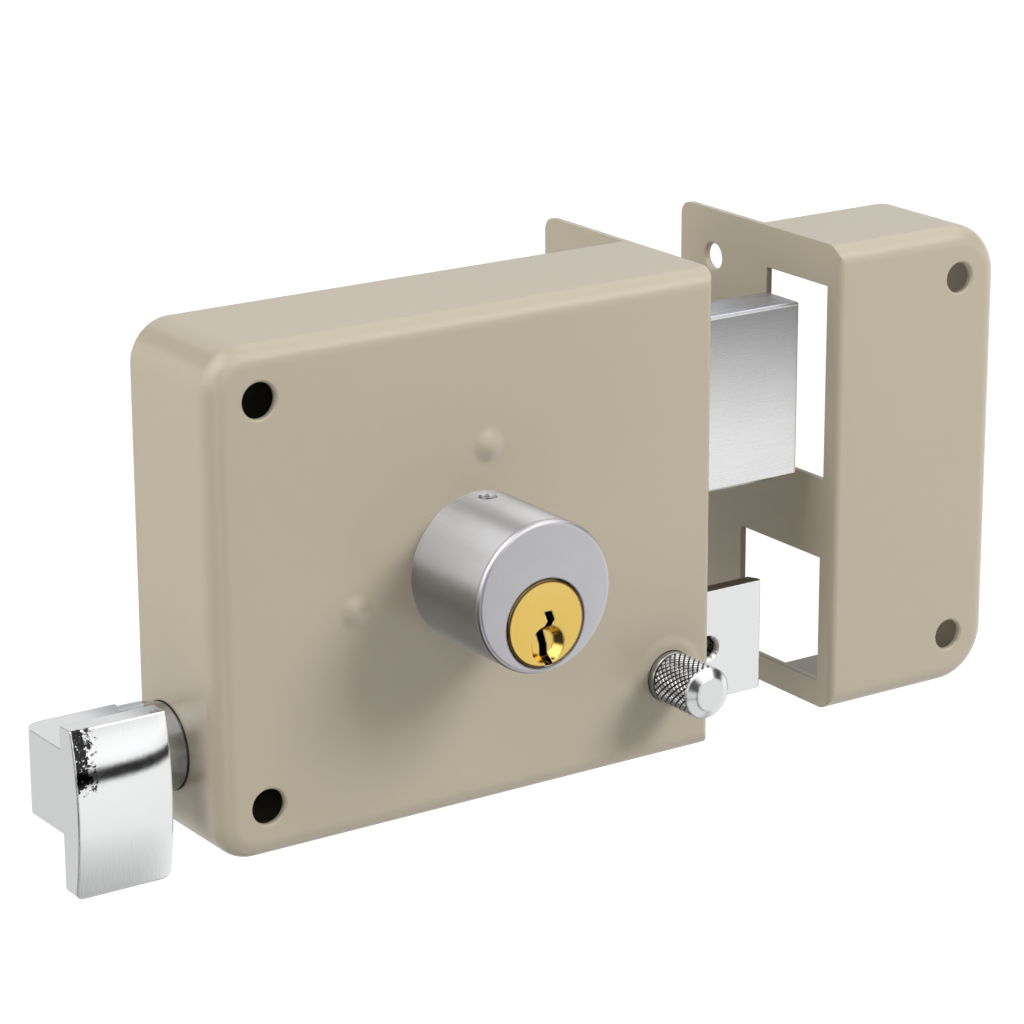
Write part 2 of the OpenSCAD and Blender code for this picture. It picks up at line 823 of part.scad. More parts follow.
module cylinder_sleeve() {
    color("#b9bbc1") difference() {
        turned_y(0, front, sleeve_up)
            round_corner_square(sleeve_r, sleeve_l, sleeve_edge_r);
        bar_y(0, sleeve_up, sleeve_r - sleeve_t, body_front, front + past);
        plug_head_room(sleeve_face - past);
        bar_z(0, set_screw_y, set_screw_r + fit, sleeve_up, sleeve_up + sleeve_r + past);
    }
}

module cylinder_body() {
    color("#c9a24a") difference() {
        bar_y(0, sleeve_up, body_r, body_front, front);
        bar_y(0, 0, plug_bore_r, body_front - past, front + past);
        plug_head_room(body_front - past);
        for (i = [0:pin_count - 1])
            bar_z(0, first_pin + i * pin_pitch, chamber_r, 0, sleeve_up + sleeve_r);
        bar_z(0, set_screw_y, set_screw_r + fit, set_screw_top - set_screw_l - set_screw_room,
            sleeve_up + sleeve_r);
        for (x = [-fixing_x, fixing_x])
            bar_y(x, fixing_z, fixing_r + fit, front - fixing_l - air, front + past);
    }
}

module sleeve_set_screw() {
    color("#77797d") difference() {
        bar_z(0, set_screw_y, set_screw_r, set_screw_top - set_screw_l, set_screw_top);
        translate([0, set_screw_y, set_screw_top - hex_d])
            cylinder(r = hex_r, h = hex_d + past, $fn = 6);
    }
}

module cylinder_fixing_screws() {
    color("#9a9a96") for (x = [-fixing_x, fixing_x]) difference() {
        union() {
            bar_y(x, fixing_z, fixing_r, front - fixing_l, inside);
            bar_y(x, fixing_z, fixing_head_r, inside, inside + fixing_head_t);
        }
        box(x - fixing_head_r, x + fixing_head_r, inside + fixing_head_t - fixing_slot_d,
            inside + fixing_head_t + past, fixing_z - fixing_slot_w / 2,
            fixing_z + fixing_slot_w / 2);
    }
}

module driver_pins() {
    color("#c9a24a") for (i = [0:pin_count - 1])
        bar_z(0, first_pin + i * pin_pitch, pin_r, driver_low, driver_low + driver_l);
}

module pin_springs() {
    low_end = driver_low + driver_l + fit;
    color("#9a9a96") for (i = [0:pin_count - 1])
        translate([0, first_pin + i * pin_pitch, low_end])
            coil(pin_coil_r, pin_wire_r, pin_turns, cap_top - cap_t - fit - low_end, 8, 5);
}

module chamber_plugs() {
    color("#c9a24a") for (i = [0:pin_count - 1])
        bar_z(0, first_pin + i * pin_pitch, pin_r + fit / 2, cap_top - cap_t, cap_top);
}

module keyway_outline() {
    side = [keyway_w / 2, 0];
    polygon(concat([for (p = KEYWAY) p + side],
        [for (i = [len(KEYWAY) - 1:-1:0]) KEYWAY[i] - side]));
}

module cylinder_plug() {
    head_back = sleeve_face + plug_head_t;
    color("#e0b040") difference() {
        union() {
            turned_y(0, head_back, 0)
                round_corner_square(plug_face_r, plug_head_t + plug_lip, plug_edge_r);
            bar_y(0, 0, plug_r, head_back - past, plug_end);
        }
        from_front(sleeve_face - plug_lip - past, plug_end - keyway_short) keyway_outline();
        cone_y(key_cup[0], key_cup[1], key_cup_r + (key_cup_r - key_cup_floor_r)
            * past / key_cup_d, key_cup_floor_r, sleeve_face - plug_lip - past,
            sleeve_face - plug_lip + key_cup_d);
        for (i = [0:pin_count - 1])
            bar_z(0, first_pin + i * pin_pitch, chamber_r, key_pin_floor, plug_r + past);
        for (x = [-hub_screw_x, hub_screw_x])
            bar_y(x, 0, hub_screw_r + fit, plug_end - hub_screw_l, plug_end + past);
    }
}

module key_pins() {
    color("#c9a24a") for (i = [0:pin_count - 1])
        translate([0, first_pin + i * pin_pitch, key_pin_floor + KEY_LIFTS[i]]) {
            cylinder(r1 = key_tip_r, r2 = pin_r, h = key_tip_l);
            translate([0, 0, key_tip_l])
                cylinder(r = pin_r, h = key_pin_top - key_pin_floor - KEY_LIFTS[i] - key_tip_l);
        }
}

// The angle between an involute's start and its point at radius r, in degrees
function involute_at(r) = r <= base_r ? 0 :
    let (t = sqrt(pow(r / base_r, 2) - 1)) t * 180 / PI - atan(t);
// Half the angle that a pinion tooth fills at radius r
function half_tooth(r) = 90 / pinion_teeth - backlash / 4 / pitch_r * 180 / PI
    + involute_at(pitch_r) - involute_at(r);

// The pinion's outline, with one tooth straight up
module pinion_outline() {
    n = 6;
    polygon([for (i = [0:pinion_teeth - 1]) for (side = [-1, 1]) for (k = [0:n])
        let (r = root_r + (tip_r - root_r) * (side < 0 ? k : n - k) / n,
            a = 90 + i * 360 / pinion_teeth + side * half_tooth(r))
            [r * cos(a), r * sin(a)]]);
}

module drive_pinion() {
    color("#a9acb0") difference() {
        union() {
            bar_y(0, 0, hub_flange_r, plug_end, plug_end + hub_flange_t);
            bar_y(0, 0, hub_r, plug_end, drive_end);
            from_front(pinion_front, pinion_back) pinion_outline();
        }
        for (x = [-hub_screw_x, hub_screw_x])
            bar_y(x, 0, hub_screw_r + fit, plug_end - past, plug_end + hub_flange_t + past);
        box(-drive_slot_w / 2, drive_slot_w / 2, drive_end - drive_slot_d,
            drive_end + past, -hub_r - past, hub_r + past);
    }
}

module pinion_screws() {
    seat = plug_end + hub_flange_t;
    color("#9a9a96") for (x = [-hub_screw_x, hub_screw_x]) difference() {
        union() {
            bar_y(x, 0, hub_screw_r, plug_end - hub_screw_l + air, seat);
            bar_y(x, 0, hub_screw_head_r, seat, seat + hub_screw_head_t);
        }
        box(x - hub_screw_head_r, x + hub_screw_head_r, seat + hub_screw_head_t / 2,
            seat + hub_screw_head_t + past, -hub_slot_w / 2, hub_slot_w / 2);
    }
}

// Latch

module latch_rivet_bars(r, more) {
    for (z = LATCH_RIVETS)
        bar_y(plate_start + strip_lap / 2, z, r, latch_front - more,
            latch_back + strip_t + more);
}

module latch_bolt() {
    ramp_tip = latch_end - tip_back - rib_step;
    color("#dcdde0") difference() {
        union() {
            from_above(latch_low, latch_low + latch_h) polygon([[plate_start, latch_front],
                [latch_end - tip_chamfer, latch_front], [latch_end, latch_front + tip_chamfer],
                [latch_end, latch_front + tip_t], [latch_end - tip_back, latch_back],
                [plate_start, latch_back]]);
            from_above(latch_mid - rib_h / 2, latch_mid + rib_h / 2)
                polygon([[rib_start, latch_back - past], [ramp_tip, latch_back - past],
                [ramp_tip, latch_back], [ramp_tip - rib_back + latch_back, rib_back],
                [rib_start, rib_back]]);
        }
        bar_y(hold_hole_x, knob_axis_z, tip_hole_r, latch_front - past,
            latch_front + knob_travel + tip_hole_room);
        cone_y(hold_hole_x, knob_axis_z, tip_hole_r + tip_hole_rim + past, tip_hole_r,
            latch_front - past, latch_front + tip_hole_rim);
        bar_y(knob_x, knob_axis_z, tip_hole_r, latch_front - past, latch_back + past);
        latch_rivet_bars(latch_rivet_r, past);
    }
}

module latch_tail() {
    z0 = latch_mid - strip_h / 2;
    z1 = latch_mid + strip_h / 2;
    color("#8f9296") difference() {
        union() {
            box(lug_x, plate_start + strip_lap, latch_back, latch_back + strip_t, z0, z1);
            box(lug_x, lug_x + strip_t, latch_back, lug_end, z0, z1);
        }
        bar_x(shaft_axis_y, shaft_axis_z, rod_r + slide, lug_x - past,
            lug_x + strip_t + past);
        bar_x(shaft_axis_y, shaft_axis_z, nut_r + slide, nut_x, nut_x + nut_t + slide);
        latch_rivet_bars(latch_rivet_r, past);
    }
}

module latch_rivets() {
    color("#9a9a96") latch_rivet_bars(latch_rivet_r - fit, 0);
}

// Pull handle

// The finger plate from the side: flat behind, and bowed forward in one arc
module finger_section() {
    bow_r = (finger_h * finger_h / 4 + finger_bow * finger_bow) / 2 / finger_bow;
    intersection() {
        translate([block_front - finger_t - finger_bow - past, finger_top - finger_h])
            square([finger_t + finger_bow + past, finger_h]);
        translate([block_front - finger_t - finger_bow + bow_r, finger_top - finger_h / 2])
            circle(r = bow_r, $fn = 128);
    }
}

// The finger plate from the front, with its lower corners rounded
module finger_front() {
    translate([block_left, finger_top]) rotate(-90)
        round_right(finger_h, handle_w, finger_corner_r);
}

// A rectangle with its two right corners rounded
module round_right(w, h, r) {
    translate([w, 0]) mirror([1, 0]) round_left(w, h, r);
}

module pull_handle() {
    notch_top = low + case_hole_up + case_hole_r + air;
    color("#d4d6da") difference() {
        union() {
            from_above(block_low, block_low + handle_block_h)
                translate([block_right, block_front]) mirror([1, 0])
                round_corner_square(handle_w, handle_block_d, block_corner_r);
            intersection() {
                from_side(block_left, block_right) finger_section();
                from_front(block_front - finger_t - finger_bow - past, block_front + past)
                    finger_front();
            }
            bar_x(shaft_axis_y, shaft_axis_z, shaft_r, block_right - past, shaft_end);
        }
        box(shaft_notch, shaft_end + past, shaft_axis_y - shaft_r - past,
            shaft_axis_y + shaft_r + past, shaft_axis_z - shaft_r - past, notch_top);
        box(shaft_notch, shaft_end + past, back - slide, shaft_axis_y + shaft_r + past,
            shaft_axis_z - shaft_r - past, shaft_axis_z + shaft_r + past);
        bar_x(shaft_axis_y, shaft_axis_z, rod_r + fit / 2, shaft_end - rod_sunk,
            shaft_end + past);
    }
}

module pull_rod() {
    color("#9a9a96") bar_x(shaft_axis_y, shaft_axis_z, rod_r, shaft_end - rod_sunk,
        nut_x + nut_t + rod_past);
}

module rod_nut() {
    color("#9a9a96") translate([nut_x, shaft_axis_y, shaft_axis_z]) rotate([0, 90, 0])
        difference() {
            cylinder(r = nut_r, h = nut_t, $fn = 6);
            translate([0, 0, -past]) cylinder(r = rod_r + fit / 2, h = nut_t + 2 * past);
        }
}

module rod_guide() {
    z0 = shaft_axis_z - rod_guide_h / 2;
    z1 = shaft_axis_z + rod_guide_h / 2;
    color("#8d8a80") difference() {
        union() {
            box(rod_guide_x, rod_guide_x + rod_guide_t, rod_guide_front, back, z0, z1);
            box(rod_guide_x, rod_guide_x + rod_guide_foot, back - rod_guide_t, back, z0, z1);
        }
        bar_x(shaft_axis_y, shaft_axis_z, rod_r + fit, rod_guide_x - past,
            rod_guide_x + rod_guide_t + past);
    }
}

module latch_spring() {
    x0 = rod_guide_x + rod_guide_t + fit;
    color("#9a9a96") translate([x0, shaft_axis_y, shaft_axis_z]) rotate([0, 90, 0])
        coil(spring_r, spring_wire_r, spring_turns, lug_x - fit - x0);
}

// Snib

module snib_bush() {
    color("#9a9a96") difference() {
        bar_y(knob_x, knob_axis_z, bush_r, inside, bush_end);
        bar_y(knob_x, knob_axis_z, knob_neck_r + slide, inside - past, bush_floor);
        bar_y(knob_x, knob_axis_z, stem_r + fit, bush_floor - past, bush_end + past);
    }
}

module snib_knob() {
    h = neck_base - knob_end;
    neck = neck_base - front + knob_neck_l;
    color("#c4c6ca") difference() {
        turned_y(knob_x, neck_base, knob_axis_z) polygon([[0, 0], [knob_neck_r, 0],
            [knob_neck_r, neck - knob_step], [knob_r, neck + knob_step],
            [knob_r, h - knob_chamfer],
            [knob_r - knob_chamfer, h], [0, h]]);
        bar_y(knob_x, knob_axis_z, stem_r + fit / 2, stem_head, neck_base + past);
    }
}

module snib_stem() {
    color("#9a9a96") {
        bar_y(knob_x, knob_axis_z, stem_r, stem_head, stem_shoulder);
        bar_y(knob_x, knob_axis_z, stem_tip_r, stem_shoulder - past, stem_tip);
    }
}

module snib_clip() {
    y0 = stem_shoulder + fit;
    color("#77797d") difference() {
        bar_y(knob_x, knob_axis_z, snib_clip_r, y0, y0 + snib_clip_t);
        bar_y(knob_x, knob_axis_z, stem_tip_r + fit, y0 - past, y0 + snib_clip_t + past);
        box(knob_x - stem_tip_r, knob_x + stem_tip_r, y0 - past, y0 + snib_clip_t + past,
            knob_axis_z, knob_axis_z + snib_clip_r + past);
    }
}

case_shell();
back_plate();
back_plate_screws();
case_posts();
guide_studs();
stud_clip();
bolt_guide();
friction_spring();
cylinder_sleeve();
cylinder_body();
sleeve_set_screw();
cylinder_fixing_screws();
driver_pins();
pin_springs();
chamber_plugs();
rod_guide();
latch_spring();
snib_bush();
strike_box();
dead_bolt();
bolt_tail();
bolt_rivets();
cylinder_plug();
key_pins();
drive_pinion();
pinion_screws();
latch_bolt();
latch_tail();
latch_rivets();
pull_handle();
pull_rod();
rod_nut();
snib_knob();
snib_stem();
snib_clip();
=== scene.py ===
import math
import bmesh
import bpy
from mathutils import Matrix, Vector


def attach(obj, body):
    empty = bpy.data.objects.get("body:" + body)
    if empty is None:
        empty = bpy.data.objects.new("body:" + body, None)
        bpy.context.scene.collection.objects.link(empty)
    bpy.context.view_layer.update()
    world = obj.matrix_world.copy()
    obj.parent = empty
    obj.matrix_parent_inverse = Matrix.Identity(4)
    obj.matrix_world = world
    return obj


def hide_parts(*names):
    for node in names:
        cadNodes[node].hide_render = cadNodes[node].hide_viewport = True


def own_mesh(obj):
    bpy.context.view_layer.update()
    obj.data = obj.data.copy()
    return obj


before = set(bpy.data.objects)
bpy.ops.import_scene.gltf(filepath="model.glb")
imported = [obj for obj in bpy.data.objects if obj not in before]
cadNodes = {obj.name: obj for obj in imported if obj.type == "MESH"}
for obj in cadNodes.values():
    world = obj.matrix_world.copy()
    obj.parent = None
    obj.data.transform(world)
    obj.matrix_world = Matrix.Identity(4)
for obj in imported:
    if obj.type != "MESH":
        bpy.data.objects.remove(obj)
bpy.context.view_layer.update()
print("lock loaded:", len(cadNodes), "pieces")

mm = 0.001
alongX = (1.0, 0.0, 0.0)
alongY = (0.0, 1.0, 0.0)
alongZ = (0.0, 0.0, 1.0)


# The box round a CAD piece in the shared frame, in millimetres
def pieceBox(name):
    node = cadNodes[name]
    points = [node.matrix_world @ vertex.co for vertex in node.data.vertices]
    return [(min(p[axis] for p in points) / mm, max(p[axis] for p in points) / mm) for axis in range(3)]


# Camera, light and room

photoView = {
    "place": (-0.400803, -0.636387, 0.245075),
    "turnDeg": (72.5616, 0.1995, -34.1355),
    "lens": 131.247,
    "sensor": 36.0,
    "clip": (0.01, 50),
}


def addCamera(view):
    data = bpy.data.cameras.new("photoCamera")
    data.lens = view["lens"]
    data.sensor_width = view["sensor"]
    data.clip_start, data.clip_end = view["clip"]
    camera = bpy.data.objects.new("photoCamera", data)
    camera.location = view["place"]
    camera.rotation_euler = [math.radians(a) for a in view["turnDeg"]]
    bpy.context.scene.collection.objects.link(camera)
    bpy.context.scene.camera = camera


# The lamps light the paint; polished metal sees the room below instead
studioLamps = [
    {"name": "keyLamp", "place": (0.62, -0.72, 0.60), "aim": (0.03, -0.02, 0.0),
     "size": (0.45, 0.45), "power": 9.5, "tint": (1.0, 0.99, 0.985)},
    {"name": "topLeftLamp", "place": (-0.75, -0.16, 0.78), "aim": (0.0, -0.02, 0.0),
     "size": (0.45, 0.8), "power": 7.4, "tint": (1.0, 1.0, 0.99)},
    {"name": "lowLeftLamp", "place": (-1.08, 0.18, 0.04), "aim": (0.0, 0.0, 0.0),
     "size": (0.6, 0.6), "power": 2.7, "tint": (1.0, 0.97, 0.86)},
]


def addLamp(lamp):
    data = bpy.data.lights.new(lamp["name"], "AREA")
    data.shape = "RECTANGLE"
    data.size, data.size_y = lamp["size"]
    data.energy = lamp["power"]
    data.color = lamp["tint"]
    holder = bpy.data.objects.new(lamp["name"], data)
    holder.location = lamp["place"]
    toward = Vector(lamp["aim"]) - Vector(lamp["place"])
    holder.rotation_euler = toward.to_track_quat("-Z", "Y").to_euler()
    holder.visible_glossy = False
    bpy.context.scene.collection.objects.link(holder)


studioRoom = {
    "ambient": 0.33,           # what the room gives to paint
    "backFrom": (0.3, 0.75),   # a direction's Y, from none to all of the room behind the lock
    "backRise": (-0.3, 0.3),   # a direction's Z, from the lower to the upper level back there
    "backLevels": (0.69, 0.80),
    # Brightness that metal sees round the Y axis: degrees from +X towards +Z, and level
    "ring": [(-180, 0.42), (-174, 0.06), (-152, 0.05), (-96, 0.02), (-78, 0.04), (-64, 0.38),
             (-48, 0.92), (-34, 0.96), (-24, 0.97), (-12, 1.13), (0, 1.06), (10, 0.76), (26, 0.62),
             (38, 1.12), (48, 1.56), (60, 1.50), (68, 1.20), (76, 0.75), (84, 0.30), (91, 0.60),
             (99, 1.85), (112, 2.00), (130, 2.15), (150, 1.90), (168, 1.60)],
    "ringTop": 2.2,
    # Lamps and dark cards in that room: direction, inner and outer half-angle, and level
    "patches": [((-0.549, -0.826, -0.108), 11, 19, 0.85), ((-0.394, -0.660, -0.638), 11, 19, 0.85),
                ((-0.104, -0.471, -0.875), 11, 19, 0.85), ((0.236, -0.246, -0.939), 11, 19, 0.85),
                ((0.38, -0.66, 0.65), 11, 27, 2.1), ((-0.400, -0.858, 0.320), 14, 24, 0.03),
                ((0.92, -0.25, 0.30), 11, 20, 0.05), ((-0.30, 0.79, 0.534), 11, 17, 0.05)],
    "bandHeight": -0.185,      # a dark band low in front, as a direction's Z
    "bandHalf": 0.020,
    "bandSoft": 0.035,
    "bandLevel": 0.02,
    "bandToward": (0.47, -0.88, 0.0),
    "bandReach": (0.80, 0.92),  # how near to that direction, from none of the band to all
    "floorBelow": 0.42,        # the floor lies this far under the key axis
    "floorSize": 6.0,
    "floorGlow": 0.8,          # share of the floor's white that a shadow leaves alone
    "floorLevel": 1.25,
    "floorColour": (0.9, 0.9, 0.9, 1),
}


def mathNode(tree, operation, first, second=None, clamp=False):
    node = tree.nodes.new("ShaderNodeMath")
    node.operation = operation
    node.use_clamp = clamp
    for slot, value in enumerate((first, second)):
        if value is None:
            continue
        if isinstance(value, (int, float)):
            node.inputs[slot].default_value = value
        else:
            tree.links.new(value, node.inputs[slot])
    return node.outputs[0]


def rangeNode(tree, value, low, high, toLow, toHigh, smooth=False):
    node = tree.nodes.new("ShaderNodeMapRange")
    if smooth:
        node.interpolation_type = "SMOOTHSTEP"
    tree.links.new(value, node.inputs["Value"])
    for label, number in (("From Min", low), ("From Max", high), ("To Min", toLow), ("To Max", toHigh)):
        if isinstance(number, (int, float)):
            node.inputs[label].default_value = number
        else:
            tree.links.new(number, node.inputs[label])
    return node.outputs[0]


def vectorNode(tree, operation, first, second):
    node = tree.nodes.new("ShaderNodeVectorMath")
    node.operation = operation
    tree.links.new(first, node.inputs[0])
    if isinstance(second, bpy.types.NodeSocket):
        tree.links.new(second, node.inputs[1])
    else:
        node.inputs[1].default_value = second
    return node


def towardNode(tree, vector, direction):
    return vectorNode(tree, "DOT_PRODUCT", vector, Vector(direction).normalized()).outputs["Value"]


def seenRays(tree, kinds):
    path = tree.nodes.new("ShaderNodeLightPath")
    total = path.outputs[kinds[0]]
    for kind in kinds[1:]:
        total = mathNode(tree, "MAXIMUM", total, path.outputs[kind])
    return total


# Sockets 2 and 3 of the Mix node are its two plain numbers
def blendNode(tree, mask, first, second):
    node = tree.nodes.new("ShaderNodeMix")
    node.data_type = "FLOAT"
    tree.links.new(mask, node.inputs[0])
    tree.links.new(first, node.inputs[2])
    if isinstance(second, float):
        node.inputs[3].default_value = second
    else:
        tree.links.new(second, node.inputs[3])
    return node.outputs[0]


# What polished metal sees in each direction
def roomLevel(tree, vector, room):
    split = tree.nodes.new("ShaderNodeSeparateXYZ")
    tree.links.new(vector, split.inputs[0])
    angle = mathNode(tree, "ARCTAN2", split.outputs["Z"], split.outputs["X"])
    ramp = tree.nodes.new("ShaderNodeValToRGB")
    tree.links.new(rangeNode(tree, angle, -math.pi, math.pi, 0.0, 1.0), ramp.inputs[0])
    stops = room["ring"] + [(180, room["ring"][0][1])]  # the ring closes at its first level
    points = ramp.color_ramp.elements
    while len(points) < len(stops):
        points.new(0.5)
    for point, (degrees, level) in zip(points, stops):
        point.position = (degrees + 180) / 360
        point.color = (level / room["ringTop"],) * 3 + (1,)
    depth = rangeNode(tree, split.outputs["Y"], *room["backFrom"], 0.0, 1.0, True)
    level = mathNode(tree, "MULTIPLY", ramp.outputs[0], room["ringTop"])
    behind = rangeNode(tree, split.outputs["Z"], *room["backRise"], *room["backLevels"])
    level = blendNode(tree, depth, level, behind)
    away = mathNode(tree, "ABSOLUTE", mathNode(tree, "SUBTRACT", split.outputs["Z"], room["bandHeight"]))
    across = rangeNode(tree, away, room["bandHalf"], room["bandHalf"] + room["bandSoft"], 1.0, 0.0, True)
    near = towardNode(tree, vector, room["bandToward"])
    along = rangeNode(tree, near, *room["bandReach"], 0.0, 1.0, True)
    level = blendNode(tree, mathNode(tree, "MULTIPLY", across, along), level, room["bandLevel"])
    for direction, inner, outer, value in room["patches"]:
        edges = [math.cos(math.radians(half)) for half in (outer, inner)]
        mask = rangeNode(tree, towardNode(tree, vector, direction), *edges, 0.0, 1.0, True)
        level = blendNode(tree, mask, level, value)
    return level


def buildWorld(room):
    world = bpy.data.worlds.new("whiteRoom")
    bpy.context.scene.world = world
    world.use_nodes = True
    tree = world.node_tree
    nodes, links = tree.nodes, tree.links
    nodes.clear()
    coords = nodes.new("ShaderNodeTexCoord")
    shades = []
    for strength in (room["ambient"], roomLevel(tree, coords.outputs["Generated"], room), 1.0):
        shade = nodes.new("ShaderNodeBackground")
        shade.inputs["Color"].default_value = (1, 1, 1, 1)
        if isinstance(strength, float):
            shade.inputs["Strength"].default_value = strength
        else:
            links.new(strength, shade.inputs["Strength"])
        shades.append(shade)
    dim, shiny, white = shades
    glossOrDim = nodes.new("ShaderNodeMixShader")
    links.new(seenRays(tree, ["Is Glossy Ray", "Is Transmission Ray"]), glossOrDim.inputs[0])
    links.new(dim.outputs[0], glossOrDim.inputs[1])
    links.new(shiny.outputs[0], glossOrDim.inputs[2])
    final = nodes.new("ShaderNodeMixShader")
    links.new(seenRays(tree, ["Is Camera Ray"]), final.inputs[0])
    links.new(glossOrDim.outputs[0], final.inputs[1])
    links.new(white.outputs[0], final.inputs[2])
    out = nodes.new("ShaderNodeOutputWorld")
    links.new(final.outputs[0], out.inputs["Surface"])


def buildFloor(room):
    half = room["floorSize"] / 2
    low = -room["floorBelow"]
    mesh = bpy.data.meshes.new("studioFloor")
    mesh.from_pydata([(-half, -half, low), (half, -half, low), (half, half, low), (-half, half, low)],
                     [], [(0, 1, 2, 3)])
    floor = bpy.data.objects.new("studioFloor", mesh)
    bpy.context.scene.collection.objects.link(floor)
    material = bpy.data.materials.new("paleFloor")
    material.use_nodes = True
    tree = material.node_tree
    nodes, links = tree.nodes, tree.links
    nodes.clear()
    matt = nodes.new("ShaderNodeBsdfDiffuse")
    matt.inputs["Color"].default_value = room["floorColour"]
    glow = nodes.new("ShaderNodeEmission")
    glow.inputs["Strength"].default_value = room["floorLevel"]
    share = mathNode(tree, "MULTIPLY", seenRays(tree, ["Is Camera Ray"]), room["floorGlow"])
    mix = nodes.new("ShaderNodeMixShader")
    links.new(share, mix.inputs[0])
    links.new(matt.outputs[0], mix.inputs[1])
    links.new(glow.outputs[0], mix.inputs[2])
    out = nodes.new("ShaderNodeOutputMaterial")
    links.new(mix.outputs[0], out.inputs["Surface"])
    mesh.materials.append(material)
    floor.visible_glossy = False


addCamera(photoView)
for lamp in studioLamps:
    addLamp(lamp)
buildWorld(studioRoom)
buildFloor(studioRoom)
bpy.context.scene.view_settings.view_transform = "Standard"
print("studio ready")


# Shared effects, one node group each

# A noise is given as its detail and roughness. A pair is mixed by shares, the second at its own scale.
effects = {
    "edgeSamples": 4,
    "bumpSamples": 6,
    "clouds": (3.0, 0.55),
    "grain": {"noises": [(3.0, 0.6), (2.0, 0.5)], "shares": (0.4, 0.6), "secondScale": 0.35},
    "brush": {"noises": [(4.0, 0.65), (2.0, 0.5)], "shares": (0.6, 0.4), "secondScale": 3.1},
}


def newGroup(name, inputs, outputs):
    group = bpy.data.node_groups.new(name, "ShaderNodeTree")
    for label, kind, value in inputs:
        socket = group.interface.new_socket(label, in_out="INPUT", socket_type=kind)
        if value is not None:
            socket.default_value = value
    for label, kind in outputs:
        group.interface.new_socket(label, in_out="OUTPUT", socket_type=kind)
    return group, group.nodes.new("NodeGroupInput"), group.nodes.new("NodeGroupOutput")


def noiseNode(tree, vector, scale, detail=2.0, rough=0.5):
    node = tree.nodes.new("ShaderNodeTexNoise")
    node.inputs["Detail"].default_value = detail
    node.inputs["Roughness"].default_value = rough
    if isinstance(scale, (int, float)):
        node.inputs["Scale"].default_value = scale
    else:
        tree.links.new(scale, node.inputs["Scale"])
    tree.links.new(vector, node.inputs["Vector"])
    return node.outputs[0]


def mixedNoise(tree, vector, scale, pair):
    scales = (scale, mathNode(tree, "MULTIPLY", scale, pair["secondScale"]))
    parts = [mathNode(tree, "MULTIPLY", noiseNode(tree, vector, size, *kind), share)
             for size, kind, share in zip(scales, pair["noises"], pair["shares"])]
    return mathNode(tree, "ADD", *parts)


# Mask of the rounded edges, where every finish takes its edge colour: a painted highlight along the edges
def buildEdgeHighlightGroup():
    group, given, out = newGroup("edgeHighlight", [("Radius", "NodeSocketFloat", 0.0004),
                                              ("Sharpness", "NodeSocketFloat", 6.0)],
                                 [("Mask", "NodeSocketFloat")])
    rounded = group.nodes.new("ShaderNodeBevel")
    rounded.samples = effects["edgeSamples"]
    group.links.new(given.outputs["Radius"], rounded.inputs["Radius"])
    plain = group.nodes.new("ShaderNodeNewGeometry")
    dot = vectorNode(group, "DOT_PRODUCT", rounded.outputs[0], plain.outputs["Normal"])
    away = mathNode(group, "SUBTRACT", 1.0, dot.outputs["Value"], clamp=True)
    mask = mathNode(group, "MULTIPLY", away, given.outputs["Sharpness"], clamp=True)
    group.links.new(mask, out.inputs["Mask"])
    return group


def buildCloudGroup():
    group, given, out = newGroup("toneClouds", [("Vector", "NodeSocketVector", None),
                                                ("Scale", "NodeSocketFloat", 30.0),
                                                ("Contrast", "NodeSocketFloat", 1.0)],
                                 [("Mask", "NodeSocketFloat")])
    big = noiseNode(group, given.outputs["Vector"], given.outputs["Scale"], *effects["clouds"])
    centred = mathNode(group, "SUBTRACT", big, 0.5)
    spread = mathNode(group, "MULTIPLY", centred, given.outputs["Contrast"])
    mask = mathNode(group, "ADD", spread, 0.5, clamp=True)
    group.links.new(mask, out.inputs["Mask"])
    return group


def buildGrainGroup():
    group, given, out = newGroup("fineGrain", [("Vector", "NodeSocketVector", None),
                                               ("Scale", "NodeSocketFloat", 900.0)],
                                 [("Height", "NodeSocketFloat")])
    mixed = mixedNoise(group, given.outputs["Vector"], given.outputs["Scale"], effects["grain"])
    group.links.new(mixed, out.inputs["Height"])
    return group


def buildBrushGroup():
    group, given, out = newGroup("brushLines", [("Vector", "NodeSocketVector", None),
                                                ("Stretch", "NodeSocketVector", (1.0, 40.0, 40.0)),
                                                ("Scale", "NodeSocketFloat", 60.0)],
                                 [("Mask", "NodeSocketFloat"), ("Height", "NodeSocketFloat")])
    scaled = vectorNode(group, "MULTIPLY", given.outputs["Vector"], given.outputs["Stretch"])
    mixed = mixedNoise(group, scaled.outputs[0], given.outputs["Scale"], effects["brush"])
    group.links.new(mixed, out.inputs["Mask"])
    group.links.new(mixed, out.inputs["Height"])
    return group


# How far a point lies between two planes, from 0 to 1
def buildSlopeGroup():
    group, given, out = newGroup("planeSlope", [("Vector", "NodeSocketVector", None),
                                                ("Along", "NodeSocketVector", (1.0, 0.0, 0.0)),
                                                ("Start", "NodeSocketFloat", 0.0),
                                                ("End", "NodeSocketFloat", 1.0)],
                                 [("Mask", "NodeSocketFloat")])
    dot = vectorNode(group, "DOT_PRODUCT", given.outputs["Vector"], given.outputs["Along"])
    ends = (given.outputs["Start"], given.outputs["End"])
    mask = rangeNode(group, dot.outputs["Value"], *ends, 0.0, 1.0, True)
    group.links.new(mask, out.inputs["Mask"])
    return group
